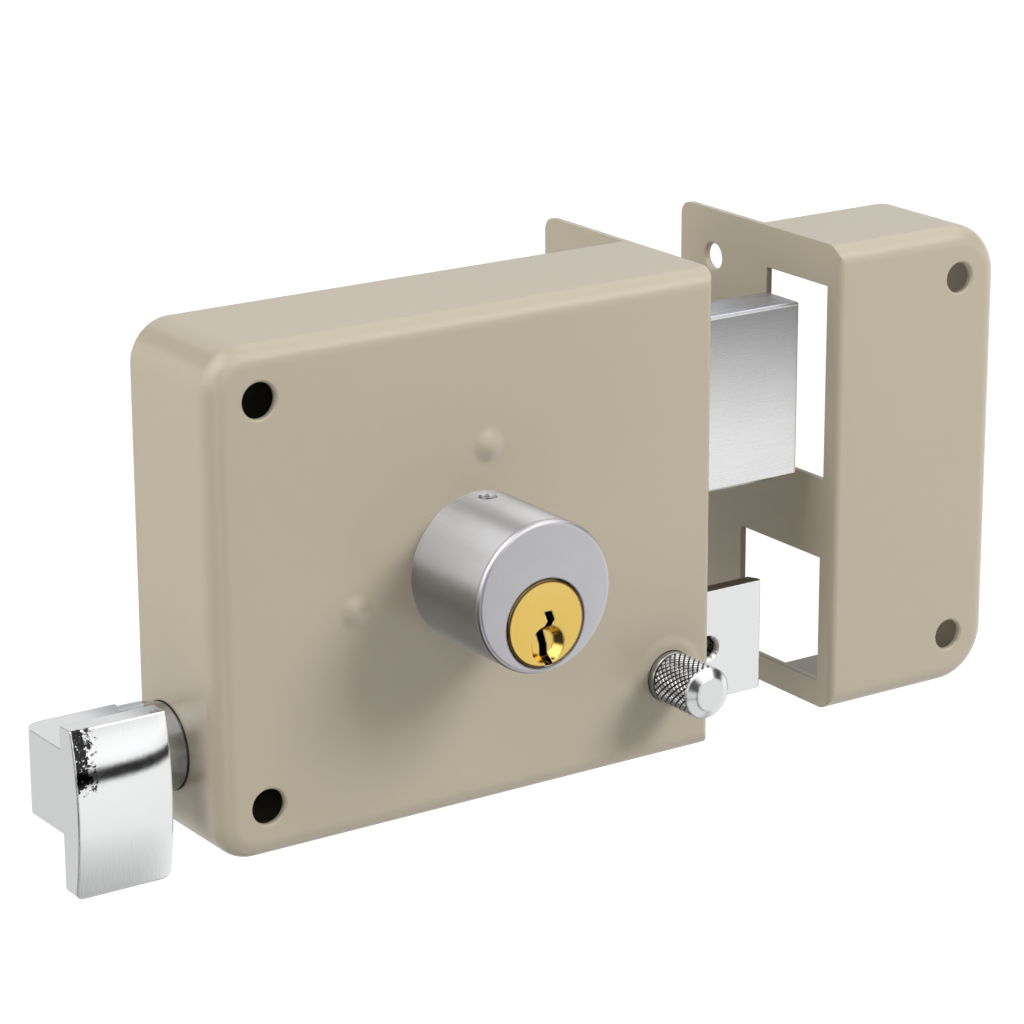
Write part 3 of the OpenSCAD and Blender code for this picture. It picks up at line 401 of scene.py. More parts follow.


# How far a point lies out from an axis along Y, from one radius to another; it places the painted shadow of
# the gap round the plug
def buildGapShadowGroup():
    group, given, out = newGroup("rimShade", [("Vector", "NodeSocketVector", None),
                                              ("Centre", "NodeSocketVector", (0.0, 0.0, 0.0)),
                                              ("Clear", "NodeSocketFloat", 0.0),
                                              ("Full", "NodeSocketFloat", 1.0)],
                                 [("Mask", "NodeSocketFloat")])
    away = vectorNode(group, "SUBTRACT", given.outputs["Vector"], given.outputs["Centre"])
    flat = vectorNode(group, "MULTIPLY", away.outputs[0], (1.0, 0.0, 1.0))
    size = group.nodes.new("ShaderNodeVectorMath")
    size.operation = "LENGTH"
    group.links.new(flat.outputs[0], size.inputs[0])
    ends = (given.outputs["Clear"], given.outputs["Full"])
    mask = rangeNode(group, size.outputs["Value"], *ends, 0.0, 1.0, True)
    group.links.new(mask, out.inputs["Mask"])
    return group


edgeHighlightGroup = buildEdgeHighlightGroup()
cloudGroup = buildCloudGroup()
grainGroup = buildGrainGroup()
brushGroup = buildBrushGroup()
slopeGroup = buildSlopeGroup()
rimGroup = buildGapShadowGroup()
print("shared effects ready")


# Finishes

def startMaterial(name, metallic, extras=None):
    material = bpy.data.materials.new(name)
    material.use_nodes = True
    tree = material.node_tree
    tree.nodes.clear()
    shader = tree.nodes.new("ShaderNodeBsdfPrincipled")
    shader.inputs["Metallic"].default_value = metallic
    for label, value in (extras or {}).items():
        shader.inputs[label].default_value = value
    out = tree.nodes.new("ShaderNodeOutputMaterial")
    tree.links.new(shader.outputs[0], out.inputs["Surface"])
    place = tree.nodes.new("ShaderNodeTexCoord").outputs["Object"]
    return material, tree, shader, place


def placeGroup(tree, group, values):
    node = tree.nodes.new("ShaderNodeGroup")
    node.node_tree = group
    for label, value in values.items():
        if isinstance(value, bpy.types.NodeSocket):
            tree.links.new(value, node.inputs[label])
        else:
            node.inputs[label].default_value = value
    return node


# Sockets 6 and 7 of the Mix node are its two colours, and output 2 is the mixed one
def mixColour(tree, mask, first, second):
    node = tree.nodes.new("ShaderNodeMix")
    node.data_type = "RGBA"
    tree.links.new(mask, node.inputs[0])
    for slot, value in ((6, first), (7, second)):
        if isinstance(value, bpy.types.NodeSocket):
            tree.links.new(value, node.inputs[slot])
        else:
            node.inputs[slot].default_value = tuple(value) + (1.0,)
    return node.outputs[2]


# A slope between two planes given in the shared frame, in millimetres
def slopeMask(tree, place, piece, slope):
    along, start, end = slope
    origin = cadNodes[piece].matrix_world.translation.dot(Vector(along))
    return placeGroup(tree, slopeGroup, {"Vector": place, "Along": along, "Start": start * mm - origin,
                                         "End": end * mm - origin}).outputs["Mask"]


# Full only where every slope is
def allSlopes(tree, place, piece, slopes):
    total = slopeMask(tree, place, piece, slopes[0])
    for slope in slopes[1:]:
        total = mathNode(tree, "MULTIPLY", total, slopeMask(tree, place, piece, slope))
    return total


# Heights are in metres
def roundedBump(tree, shader, height, edgeRadius):
    rounded = tree.nodes.new("ShaderNodeBevel")
    rounded.samples = effects["bumpSamples"]
    rounded.inputs["Radius"].default_value = edgeRadius
    bump = tree.nodes.new("ShaderNodeBump")
    bump.inputs["Strength"].default_value = 1.0
    bump.inputs["Distance"].default_value = 1.0
    tree.links.new(height, bump.inputs["Height"])
    tree.links.new(rounded.outputs[0], bump.inputs["Normal"])
    tree.links.new(bump.outputs[0], shader.inputs["Normal"])


casePaint = {
    "colour": (0.430, 0.380, 0.288),
    "paleTone": (0.434, 0.384, 0.292),
    # the edges are painted lighter: a painted highlight
    "edgeHighlightTone": (0.46, 0.41, 0.32),
    "roughness": (0.27, 0.30),
    "coat": 0.12,
    "coatRoughness": 0.10,
    "cloudScale": 14.0,
    "cloudContrast": 0.5,
    "peelScale": 420.0,
    "peelDepth": 0.0000002,    # in metres, as the radius
    "edgeRadius": 0.0005,
    "edgeSharpness": 1.5,
}


def makePaint(look):
    coat = {"Coat Weight": look["coat"], "Coat Roughness": look["coatRoughness"]}
    material, tree, shader, place = startMaterial("beigeEnamel", 0.0, coat)
    clouds = placeGroup(tree, cloudGroup, {"Vector": place, "Scale": look["cloudScale"],
                                           "Contrast": look["cloudContrast"]}).outputs["Mask"]
    grain = placeGroup(tree, grainGroup, {"Vector": place, "Scale": look["peelScale"]})
    edge = placeGroup(tree, edgeHighlightGroup, {"Radius": look["edgeRadius"], "Sharpness": look["edgeSharpness"]})
    body = mixColour(tree, clouds, look["colour"], look["paleTone"])
    # The rounded edges take the paler edge colour, a painted highlight
    body = mixColour(tree, edge.outputs["Mask"], body, look["edgeHighlightTone"])
    tree.links.new(body, shader.inputs["Base Color"])
    tree.links.new(rangeNode(tree, clouds, 0.0, 1.0, *look["roughness"]), shader.inputs["Roughness"])
    height = mathNode(tree, "MULTIPLY", grain.outputs["Height"], look["peelDepth"])
    roundedBump(tree, shader, height, look["edgeRadius"])
    return material


# Metals: colours, how rough, and how far lines or grain show; the edge colour is a painted highlight along
# the edges.
# A shade is a piece, slopes and the colour that the metal takes on there, a painted shade or painted
# reflection; a slope is a direction and two planes across it, in millimetres. A rim is a piece, two radii
# about its axis, and the colour from the first radius to the second, a painted shadow of the gap round the
# plug.
metalLooks = {
    "satinNickel": {"dark": (0.61, 0.615, 0.64), "pale": (0.67, 0.675, 0.70), "edge": (0.80, 0.81, 0.84),
                    "roughness": (0.36, 0.43), "stretch": (30.0, 1.0, 30.0), "scale": 60.0,
                    "depth": 0.0000006, "edgeRadius": 0.0005, "brushed": 1.0,
                    "rim": ("cylinder_plug", 9.75, 9.45, (0.05, 0.045, 0.04))},
    "nickelFace": {"dark": (0.60, 0.59, 0.615), "pale": (0.64, 0.63, 0.655), "edge": (0.80, 0.81, 0.84),
                   "roughness": (0.34, 0.40), "stretch": (1.0, 1.0, 1.0), "scale": 300.0, "depth": 0.0000004,
                   "edgeRadius": 0.0003, "rim": ("cylinder_plug", 9.75, 9.45, (0.05, 0.045, 0.04))},
    "goldBrass": {"dark": (0.80, 0.55, 0.14), "pale": (0.84, 0.60, 0.18), "edge": (0.95, 0.78, 0.38),
                  "roughness": (0.12, 0.18), "stretch": (3.0, 3.0, 3.0), "scale": 70.0, "depth": 0.0000002,
                  "edgeRadius": 0.0005,
                  # The keyway's far end and the bottom of its slot painted near-black: painted shade in the
                  # recess
                  "shades": [("cylinder_plug", [(alongY, -53.95, -53.2)], (0.012, 0.009, 0.004)),
                             ("cylinder_plug", [(alongY, -55.8, -55.6), (alongZ, -7.4, -7.9)],
                              (0.012, 0.009, 0.004))],
                  "rim": ("cylinder_plug", 8.5, 8.85, (0.09, 0.05, 0.012))},
    "handleChrome": {"dark": (0.86, 0.865, 0.87), "pale": (0.88, 0.885, 0.89), "edge": (0.90, 0.90, 0.90),
                     "roughness": (0.05, 0.08), "stretch": (1.0, 1.0, 1.0), "scale": 120.0,
                     "depth": 0.0000006, "edgeRadius": 0.0007,
                     # Painted shade and reflection: the shaft by the case and the block's side greyed as if
                     # they reflect the shaded case, and a dark ring where the shaft enters the case, a
                     # painted contact shadow
                     "shades": [("pull_handle", [(alongX, -70.3, -68.6)], (0.53, 0.555, 0.62)),
                                ("pull_handle", [(alongX, -80.0, -70.5), (alongY, -24.3, -23.9),
                                                 (alongZ, -18.8, -18.5)], (0.46, 0.475, 0.51)),
                                ("pull_handle", [(alongX, -62.45, -62.25), (alongX, -61.4, -61.6)],
                                 (0.05, 0.05, 0.05))]},
    "chromePlate": {"dark": (0.86, 0.865, 0.87), "pale": (0.88, 0.885, 0.89), "edge": (0.93, 0.93, 0.93),
                    "roughness": (0.05, 0.09), "stretch": (1.0, 1.0, 1.0), "scale": 120.0, "depth": 0.0000004,
                    "edgeRadius": 0.0003,
                    # The latch's hole painted dark with depth: painted shade inside the hole
                    "shades": [("latch_bolt", [(alongY, -22.5, -21.4)], (0.16, 0.155, 0.14))]},
    "knobChrome": {"dark": (0.76, 0.765, 0.77), "pale": (0.80, 0.805, 0.81), "edge": (0.90, 0.90, 0.90),
                   "roughness": (0.19, 0.24), "stretch": (1.0, 1.0, 1.0), "scale": 120.0, "depth": 0.0000004,
                   "edgeRadius": 0.0008,
                   # The neck at the case painted darker: painted shade where the knob enters the case
                   "shades": [("snib_knob", [(alongY, -34.0, -33.5)], (0.40, 0.41, 0.43))]},
    # Lit and shaded copies of the knob's chrome for the knurl: paler, bluer tops, a painted highlight, and
    # near-black grooves, a painted shadow
    "knurlLitTop": {"dark": (0.80, 0.83, 0.91), "pale": (0.84, 0.87, 0.95), "edge": (0.86, 0.89, 0.96),
                 "roughness": (0.16, 0.22), "stretch": (1.0, 1.0, 1.0), "scale": 200.0, "depth": 0.0000004,
                 "edgeRadius": 0.0001},
    "knurlGrooveShadow": {"dark": (0.05, 0.05, 0.05), "pale": (0.09, 0.09, 0.09), "edge": (0.12, 0.12, 0.12),
                   "roughness": (0.35, 0.5), "stretch": (1.0, 1.0, 1.0), "scale": 200.0, "depth": 0.000001,
                   "edgeRadius": 0.0001},
    "brushedBolt": {"dark": (0.91, 0.91, 0.91), "pale": (0.95, 0.95, 0.95), "edge": (0.93, 0.93, 0.93),
                    "roughness": (0.22, 0.30), "stretch": (1.0, 40.0, 40.0), "scale": 30.0,
                    "depth": 0.0000003, "edgeRadius": 0.0004,
                    # The bolt's face painted darker towards its top and far end, and its top face bluer:
                    # painted reflection
                    "shades": [("dead_bolt", [((0.17, 0.0, 1.0), 27.0, 69.0)], (0.28, 0.28, 0.285)),
                               ("dead_bolt", [(alongZ, 46.0, 46.18)], (0.60, 0.65, 0.80))]},
    "zincPlate": {"dark": (0.40, 0.40, 0.38), "pale": (0.62, 0.61, 0.57), "edge": (0.80, 0.80, 0.78),
                  "roughness": (0.34, 0.55), "stretch": (8.0, 1.0, 8.0), "scale": 60.0, "depth": 0.000003,
                  "edgeRadius": 0.0003},
    "machinedSteel": {"dark": (0.34, 0.35, 0.37), "pale": (0.52, 0.53, 0.55), "edge": (0.78, 0.78, 0.80),
                      "roughness": (0.24, 0.42), "stretch": (1.0, 24.0, 24.0), "scale": 70.0,
                      "depth": 0.000002, "edgeRadius": 0.0002},
    "turnedBrass": {"dark": (0.60, 0.40, 0.12), "pale": (0.76, 0.54, 0.20), "edge": (0.93, 0.76, 0.40),
                    "roughness": (0.24, 0.40), "stretch": (24.0, 1.0, 24.0), "scale": 80.0, "depth": 0.000002,
                    "edgeRadius": 0.0002},
    "springWire": {"dark": (0.40, 0.41, 0.43), "pale": (0.58, 0.59, 0.61), "edge": (0.80, 0.80, 0.82),
                   "roughness": (0.18, 0.30), "stretch": (1.0, 1.0, 1.0), "scale": 400.0, "depth": 0.000001,
                   "edgeRadius": 0.0001},
}

# What all the metals share
metalBase = {
    "cloudScale": 45.0,
    "cloudContrast": 1.8,
    "edgeSharpness": 4.0,
    "toneRange": (0.36, 0.64),   # lines and clouds together, from the dark colour to the pale one
    "roughRange": (0.35, 0.65),  # lines, from the lower roughness to the higher
    "brushTurn": 0.25,           # brushed round the Y axis
}

# The chromed pull is a little twisted by its polish, and beside its upper corner it carries a dark patch with
# pale specks, a painted reflection
pullPolishAndReflection = {
    "lean": 0.009,             # tilt at the far side, and how it grows across the face
    "twist": 0.0098,
    "twistPower": 2.0,
    "curl": 0.0276,
    "curlPower": 8.0,
    "streakScale": 2400.0,
    "streakNoise": 2.0,
    "streakStretch": (1.0, 0.0, 0.12),
    "streak": 0.0008,
    "reflectionSpeckleAreas": [(alongX, -84.3, -91.2), (alongX, -90.75, -90.6),
                     (alongY, -23.6, -24.1), (alongZ, -27.0, -24.5)],
    "speckleScale": 900.0,
    "speckleNoise": (3.0, 0.7),
    "speckleShares": (1.5, 0.42),    # what the noise and the areas add
    "speckleRange": (0.90, 1.02),    # their sum, from bare to dark
    "speckleFade": (0.02, 0.15),     # the areas' own edge
    "reflectionSpeckleTone": (0.03, 0.03, 0.03),
    "faceWidth": 21.1,         # in millimetres, from the far side
}


def rimMask(tree, place, piece, clear, full):
    boxX, boxY, boxZ = pieceBox(piece)
    centre = Vector((sum(boxX) / 2 * mm, 0, sum(boxZ) / 2 * mm)) - cadNodes[piece].matrix_world.translation
    return placeGroup(tree, rimGroup, {"Vector": place, "Centre": centre, "Clear": clear * mm,
                                       "Full": full * mm}).outputs["Mask"]


def makeMetal(name, look, base):
    material, tree, shader, place = startMaterial(name, 1.0)
    lines = placeGroup(tree, brushGroup, {"Vector": place, "Stretch": look["stretch"],
                                          "Scale": look["scale"]})
    clouds = placeGroup(tree, cloudGroup, {"Vector": place, "Scale": base["cloudScale"],
                                           "Contrast": base["cloudContrast"]})
    edge = placeGroup(tree, edgeHighlightGroup, {"Radius": look["edgeRadius"], "Sharpness": base["edgeSharpness"]})
    both = mathNode(tree, "ADD", lines.outputs["Mask"], clouds.outputs["Mask"])
    tone = rangeNode(tree, mathNode(tree, "MULTIPLY", both, 0.5), *base["toneRange"], 0.0, 1.0)
    body = mixColour(tree, tone, look["dark"], look["pale"])
    # Painted shade and painted reflection, placed by slopes
    for piece, slopes, shade in look.get("shades", []):
        body = mixColour(tree, allSlopes(tree, place, piece, slopes), body, shade)
    # A dark ring near the plug: painted shadow of the gap between the plug and the sleeve
    if "rim" in look:
        piece, clear, full, shade = look["rim"]
        body = mixColour(tree, rimMask(tree, place, piece, clear, full), body, shade)
    # The rounded edges take the edge colour, a painted highlight
    body = mixColour(tree, edge.outputs["Mask"], body, look["edge"])
    height = mathNode(tree, "MULTIPLY", lines.outputs["Height"], look["depth"])
    if name == "handleChrome":
        body, height = polishPullAndPaintReflection(tree, place, body, height, pullPolishAndReflection)
    tree.links.new(body, shader.inputs["Base Color"])
    rough = rangeNode(tree, lines.outputs["Mask"], *base["roughRange"], *look["roughness"])
    tree.links.new(rough, shader.inputs["Roughness"])
    if "brushed" in look:
        shader.inputs["Anisotropic"].default_value = look["brushed"]
        shader.inputs["Anisotropic Rotation"].default_value = base["brushTurn"]
        turned = tree.nodes.new("ShaderNodeTangent")
        turned.direction_type = "RADIAL"
        turned.axis = "Y"
        tree.links.new(turned.outputs[0], shader.inputs["Tangent"])
    roundedBump(tree, shader, height, look["edgeRadius"])
    return material


# A height in metres that leans the face of the pull, more and more towards the case
def pullTilt(tree, place, polish):
    boxX, boxY, boxZ = pieceBox("pull_handle")
    origin = cadNodes["pull_handle"].matrix_world.translation
    split = tree.nodes.new("ShaderNodeSeparateXYZ")
    tree.links.new(place, split.inputs[0])
    across = mathNode(tree, "SUBTRACT", split.outputs["X"], boxX[0] * mm - origin.x)
    up = mathNode(tree, "SUBTRACT", split.outputs["Z"], sum(boxZ) / 2 * mm - origin.z)
    share = mathNode(tree, "DIVIDE", across, polish["faceWidth"] * mm)
    growth = mathNode(tree, "MULTIPLY", mathNode(tree, "POWER", share, polish["twistPower"]), polish["twist"])
    steep = mathNode(tree, "POWER", share, polish["curlPower"], True)
    curl = mathNode(tree, "MULTIPLY", steep, polish["curl"])
    tilt = mathNode(tree, "ADD", mathNode(tree, "ADD", growth, curl), polish["lean"])
    flatSpace = vectorNode(tree, "MULTIPLY", place, polish["streakStretch"]).outputs[0]
    streaks = noiseNode(tree, flatSpace, polish["streakScale"], polish["streakNoise"])
    streaks = mathNode(tree, "MULTIPLY", mathNode(tree, "SUBTRACT", streaks, 0.5), polish["streak"])
    return mathNode(tree, "MULTIPLY", mathNode(tree, "ADD", tilt, streaks), up)


def polishPullAndPaintReflection(tree, place, body, height, polish):
    height = mathNode(tree, "ADD", height, pullTilt(tree, place, polish))
    # A dark speckled patch beside the upper corner: painted reflection
    reach = allSlopes(tree, place, "pull_handle", polish["reflectionSpeckleAreas"])
    grain = noiseNode(tree, place, polish["speckleScale"], *polish["speckleNoise"])
    dots = mathNode(tree, "ADD", *[mathNode(tree, "MULTIPLY", part, share)
                                   for part, share in zip((grain, reach), polish["speckleShares"])])
    mask = mathNode(tree, "MULTIPLY", rangeNode(tree, dots, *polish["speckleRange"], 0.0, 1.0, True),
                    rangeNode(tree, reach, *polish["speckleFade"], 0.0, 1.0))
    return mixColour(tree, mask, body, polish["reflectionSpeckleTone"]), height


paint = makePaint(casePaint)
metals = {name: makeMetal(name, look, metalBase) for name, look in metalLooks.items()}
print("finishes ready:", 1 + len(metals))


# Finishes on the pieces of the lock

finishOf = {
    "beigeEnamel": ["case_shell", "strike_box", "guide_studs"],
    "zincPlate": ["back_plate", "case_posts", "bolt_guide", "rod_guide", "snib_bush"],
    "machinedSteel": ["back_plate_screws", "stud_clip", "cylinder_fixing_screws", "bolt_rivets",
                      "pinion_screws", "latch_rivets", "snib_clip", "sleeve_set_screw", "rod_nut", "pull_rod",
                      "snib_stem", "bolt_tail", "latch_tail", "drive_pinion"],
    "springWire": ["friction_spring", "pin_springs", "latch_spring"],
    "satinNickel": ["cylinder_sleeve"],
    "turnedBrass": ["cylinder_body", "driver_pins", "chamber_plugs", "key_pins"],
    "goldBrass": ["cylinder_plug"],
    "chromePlate": ["latch_bolt"],
    "handleChrome": ["pull_handle"],
    "knobChrome": ["snib_knob"],
    "brushedBolt": ["dead_bolt"],
}

for finish, pieces in finishOf.items():
    for piece in pieces:
        node = cadNodes[piece]
        node.data.materials.clear()
        node.data.materials.append(paint if finish == "beigeEnamel" else metals[finish])
print("pieces dressed:", sum(len(pieces) for pieces in finishOf.values()))


# Mesh work that the pieces below share

def bridgeRings(work, first, second):
    count = len(first)
    return [work.faces.new((first[i], second[i], second[(i + 1) % count], first[(i + 1) % count]))
            for i in range(count)]


# A closed tube through rings of points in millimetres, and its strips of faces
def buildTube(rows):
    work = bmesh.new()
    rings = [[work.verts.new([value * mm for value in point]) for point in row] for row in rows]
    strips = [bridgeRings(work, first, second) for first, second in zip(rings, rings[1:])]
    work.faces.new(list(reversed(rings[0])))
    work.faces.new(rings[-1])
    return work, strips


# The mesh as a smooth piece on a body, with edges that turn more than sharpDeg kept
def addPiece(name, work, finishes, body, sharpDeg=None):
    bmesh.ops.recalc_face_normals(work, faces=work.faces)
    mesh = bpy.data.meshes.new(name)
    work.to_mesh(mesh)
    work.free()
    for face in mesh.polygons:
        face.use_smooth = True
    piece = bpy.data.objects.new(name, mesh)
    bpy.context.scene.collection.objects.link(piece)
    if sharpDeg:
        mesh.set_sharp_from_angle(angle=math.radians(sharpDeg))
    for finish in finishes:
        mesh.materials.append(finish)
    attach(piece, body)
    return piece


# Knurled knob of the snib

knobShape = {
    "neckRadius": 5.6,
    "neckLength": 2.0,         # smooth stretch that goes into the case
    "chamfer": 1.5,
    "chamferIn": 2.1,
    "knurlsRound": 25,
    "knurlsAlong": 7,
    "knurlDepth": 0.28,
    "knurlRise": 12,           # the knurl reaches its height over one part in so many of its length
    "samples": 12,             # points across one knurl
    "plateau": 2.0,            # how much of a knurl is its flat top
    "shadeBelow": 0.6,         # grooves lower than this share of a knurl take the painted groove shadow
    "landLength": 0.25,        # plain land between the knurl and the chamfer
    "landInsets": (0.12, 0.04, 0.09),  # how far in it lies at its start, at its end and just past it
    "landSteps": (0.02, 0.08),  # lengths of its first rise, and from its end to just past it
    "neckStep": 0.05,          # the neck drops to the knurl's foot over this length
    "easing": 0.1,             # how far the edges are eased
    "faceEasing": 0.06,        # and the outer end's
    "tip": 0.02,               # the ends close at this radius
    "stemRadius": 2.53,
    "stemSunk": 3.9,
    "sharpDeg": 22,
}


def knurlHeight(turn, along, shape):
    first = (turn * shape["knurlsRound"] + along * shape["knurlsAlong"]) % 1.0
    second = (turn * shape["knurlsRound"] - along * shape["knurlsAlong"]) % 1.0
    steep = max(abs(first - 0.5), abs(second - 0.5)) * 2
    return min(1.0, (1.0 - steep) * shape["plateau"])


# Each row is a distance along Y, a radius at every point round it, and the knurl's heights or nothing
def knobRows(shape, radius, endY, baseY):
    around = shape["knurlsRound"] * shape["samples"]
    low = radius - shape["knurlDepth"]
    easing = shape["easing"]
    rows = []

    def ring(y, size):
        rows.append((y, [size] * around, None))

    stemHead = endY + shape["stemSunk"]
    neckEnd = baseY - shape["neckLength"]
    landEnd = endY + shape["chamfer"]
    knurlEnd = landEnd + shape["landLength"]
    ring(stemHead, shape["tip"])
    ring(stemHead, shape["stemRadius"])
    ring(baseY, shape["stemRadius"])
    ring(baseY, shape["neckRadius"] - easing)
    ring(baseY - easing, shape["neckRadius"])
    ring(neckEnd + shape["neckStep"], shape["neckRadius"])
    ring(neckEnd, low)
    count = shape["knurlsAlong"] * shape["samples"]
    for step in range(count + 1):
        along = step / count
        y = neckEnd - easing + (knurlEnd - neckEnd + easing) * along
        fade = min(1.0, shape["knurlRise"] * along)
        heights = [fade * knurlHeight(i / around, along, shape) for i in range(around)]
        rows.append((y, [low + shape["knurlDepth"] * height for height in heights], heights))
    startInset, endInset, pastInset = shape["landInsets"]
    rise, past = shape["landSteps"]
    ring(knurlEnd - rise, radius - startInset)
    ring(landEnd, radius - endInset)
    ring(landEnd - past, radius - pastInset)
    ring(endY + easing, radius - shape["chamferIn"] + easing)
    ring(endY, radius - shape["chamferIn"] - shape["faceEasing"])
    ring(endY, shape["tip"])
    return rows


def buildKnob(shape):
    boxX, boxY, boxZ = pieceBox("snib_knob")
    centreX, centreZ = sum(boxX) / 2, sum(boxZ) / 2
    rows = knobRows(shape, (boxX[1] - boxX[0]) / 2, boxY[0], boxY[1])
    around = len(rows[0][1])
    turns = [2 * math.pi * i / around for i in range(around)]
    work, strips = buildTube([[(centreX + size * math.cos(turn), y, centreZ + size * math.sin(turn))
                               for turn, size in zip(turns, sizes)] for y, sizes, heights in rows])
    finishes = [metals[finish] for finish in ("knobChrome", "knurlGrooveShadow", "knurlLitTop")]
    for row, faces in zip(rows, strips):
        heights = row[2]
        if heights is None:
            continue
        # Grooves take the near-black finish, a painted shadow, and the tops the paler chrome, a painted
        # highlight
        for i, face in enumerate(faces):
            height = (heights[i] + heights[(i + 1) % around]) / 2
            face.material_index = 1 if height < shape["shadeBelow"] else 2
    knob = addPiece("knurledKnob", work, finishes, "snib", shape["sharpDeg"])
    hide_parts("snib_knob")


buildKnob(knobShape)
print("knob knurled")


# Soft domes over the heads of the studs, and the soft rise round the snib

pressings = {
    "sheet": 1.4,              # thickness of the case in front of the snib's bush
    "studRadius": 4.1,
    "studHeight": 1.08,
    "studPlaces": [(3.0, 30.7), (-29.2, 1.2)],  # X and Z
    "boreRadius": 5.64,
    "riseFlat": 6.6,
    "riseRadius": 9.3,
    "riseHeight": 0.44,
    "riseSunk": 0.2,           # how far the rise's bore goes into the sheet
    "easing": 0.1,
    "around": 96,
    "steps": 14,
    "sharpDeg": 40,
}


# Rows are rings with a centre, a radius and a height in front of a plane, all in millimetres
def ringSkin(name, front, rows, shape, finish):
    around = shape["around"]
    work = bmesh.new()
    rings = []
    for (x, z), radius, height in rows:
        turns = [2 * math.pi * i / around for i in range(around if radius else 1)]
        rings.append([work.verts.new(((x + radius * math.cos(a)) * mm, (front - height) * mm,
                                      (z + radius * math.sin(a)) * mm)) for a in turns])
    for first, second in zip(rings, rings[1:]):
        for i in range(around):
            j = (i + 1) % around
            inner = (first[0],) if len(first) == 1 else (first[j], first[i])
            work.faces.new(inner + (second[i], second[j]))
    addPiece(name, work, [finish], "case", shape["sharpDeg"])


def buildPressings(press):
    front = pieceBox("snib_bush")[1][0] - press["sheet"]
    count = press["steps"]
    for number, place in enumerate(press["studPlaces"], 1):
        dome = [(place, press["studRadius"] * k / count, press["studHeight"] * (1 - (k / count) ** 2) ** 2)
                for k in range(count + 1)]
        ringSkin("studDome_%d" % number, front, dome, press, paint)
    knobBox = pieceBox("snib_knob")
    centre = (sum(knobBox[0]) / 2, sum(knobBox[2]) / 2)
    rise = [(centre, press["boreRadius"], -press["riseSunk"]),
            (centre, press["boreRadius"], press["riseHeight"] - press["easing"]),
            (centre, press["boreRadius"] + press["easing"], press["riseHeight"])]
    reach = press["riseRadius"] - press["riseFlat"]
    rise += [(centre, press["riseFlat"] + reach * k / count,
              press["riseHeight"] * (0.5 + 0.5 * math.cos(math.pi * k / count))) for k in range(count + 1)]
    ringSkin("snibRise", front, rise, press, paint)


buildPressings(pressings)
print("pressings softened")


# Turned face of the cylinder's sleeve

sleeveFace = {
    "plating": 0.02,           # the face and its rounded edge lie this far outside the sleeve's
    "edge": 1.0,               # radius of the rounded edge
    "plugRoom": 9.42,
    "plugSunk": 0.1,           # how far the hole's edge goes in, and the rim past its rounding
    "rimPast": 0.15,
    "around": 128,
    "steps": 8,
    "sharpDeg": 40,
}


def buildSleeveFace(face):
    boxX, boxY, boxZ = pieceBox("cylinder_sleeve")
    plugX, plugY, plugZ = pieceBox("cylinder_plug")
    radius = (boxX[1] - boxX[0]) / 2
    centre = (sum(boxX) / 2, sum(boxZ) / 2)
    plugCentre = (sum(plugX) / 2, sum(plugZ) / 2)
    thick = face["plating"]
    rows = [(plugCentre, face["plugRoom"], -face["plugSunk"]), (plugCentre, face["plugRoom"], thick)]
    for k in range(face["steps"] + 1):
        turn = math.pi / 2 * k / face["steps"]
        rows.append((centre, radius - face["edge"] + (face["edge"] + thick) * math.sin(turn),
                     (face["edge"] + thick) * math.cos(turn) - face["edge"]))
    rows.append((centre, radius + thick, -face["edge"] - face["rimPast"]))
    ringSkin("sleeveFace", boxY[0], rows, face, metals["nickelFace"])


buildSleeveFace(sleeveFace)
print("sleeve faced")


# Shoulder of the pull, which carries the block's back corners on along the shaft up to the case

pullShoulder = {
    "start": -69.88,
    "end": -62.0,
    "backward": 6.6,           # from the shaft's axis to the block's back, top and bottom
    "upward": 8.6,
    "downward": 9.2,
    "radius": 9.22,
    "soften": 0.7,
    "fadePower": 6,            # the corners fade into the shaft late, close to the case
    "least": 0.01,             # keeps a division away from nothing
    "around": 144,
    "steps": 12,
    "sharpDeg": 25,
}


def shoulderRadius(turn, share, shape):
    back, high = math.cos(turn), math.sin(turn)
    if back <= 0:
        return shape["radius"]
    tall = shape["upward"] if high > 0 else shape["downward"]
    corner = min(shape["backward"] / back, tall / max(abs(high), shape["least"]))
    corner = min(corner, math.hypot(shape["backward"], tall) - shape["soften"])
    return max(shape["radius"], corner - (corner - shape["radius"]) * share ** shape["fadePower"])


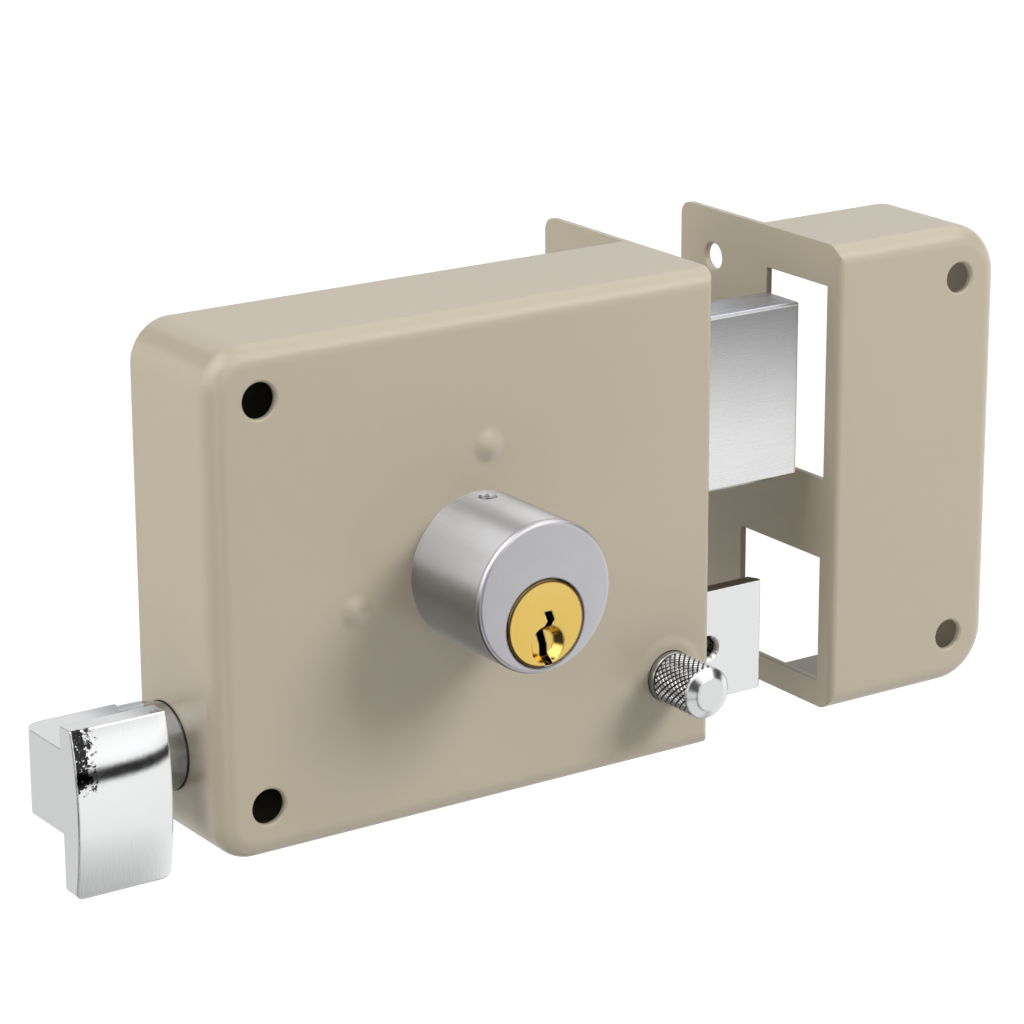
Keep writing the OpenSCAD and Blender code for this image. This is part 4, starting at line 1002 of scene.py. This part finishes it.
def buildShoulder(shape):
    rodX, rodY, rodZ = pieceBox("pull_rod")
    axisY, axisZ = sum(rodY) / 2, sum(rodZ) / 2
    turns = [2 * math.pi * i / shape["around"] for i in range(shape["around"])]
    rows = []
    for step in range(shape["steps"] + 1):
        share = step / shape["steps"]
        x = shape["start"] + (shape["end"] - shape["start"]) * share
        reaches = [shoulderRadius(turn, share, shape) for turn in turns]
        rows.append([(x, axisY + reach * math.cos(turn), axisZ + reach * math.sin(turn))
                     for turn, reach in zip(turns, reaches)])
    work = buildTube(rows)[0]
    addPiece("pullShoulder", work, [metals["handleChrome"]], "pull", shape["sharpDeg"])


buildShoulder(pullShoulder)
print("shoulder of the pull made")


# Coil spring of the latch, made at rest; in the lock it shortens as the handle is pulled

latchCoil = {
    "turns": 8,
    "wireRadius": 0.5,
    "stepsPerTurn": 36,
    "aroundWire": 12,
    "endTurns": 0.9,           # closed turns at each end
    "closedPitch": 1.02,       # their pitch, in thicknesses of the wire
    "travel": 17.2,            # how far the handle is pulled
}


# How far along the open turns a turn lies, from 0 to 1
def coilShare(turn, shape):
    openTurns = shape["turns"] - 2 * shape["endTurns"]
    return min(1.0, max(0.0, (turn - shape["endTurns"]) / openTurns))


def buildCoil(shape):
    boxX, boxY, boxZ = pieceBox("latch_spring")
    axisY, axisZ = sum(boxY) / 2, sum(boxZ) / 2
    wire = shape["wireRadius"]
    size = (boxY[1] - boxY[0]) / 2 - wire
    closed = 2 * wire * shape["endTurns"] * shape["closedPitch"]
    first, last = boxX[0] + wire, boxX[1] - wire
    middle = last - first - 2 * closed
    tilts = [2 * math.pi * k / shape["aroundWire"] for k in range(shape["aroundWire"])]
    rows = []
    for step in range(shape["turns"] * shape["stepsPerTurn"] + 1):
        turn = step / shape["stepsPerTurn"]
        angle = 2 * math.pi * turn
        left = min(turn, shape["endTurns"]) / shape["endTurns"]
        right = max(0.0, turn - shape["turns"] + shape["endTurns"]) / shape["endTurns"]
        x = first + closed * (left + right) + middle * coilShare(turn, shape)
        reaches = [size + wire * math.cos(tilt) for tilt in tilts]
        rows.append([(x + wire * math.sin(tilt), axisY + reach * math.cos(angle),
                      axisZ + reach * math.sin(angle)) for tilt, reach in zip(tilts, reaches)])
    work = buildTube(rows)[0]
    coil = addPiece("latchCoil", work, [metals["springWire"]], "case")
    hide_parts("latch_spring")
    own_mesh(coil)


buildCoil(latchCoil)
print("latch spring coiled")
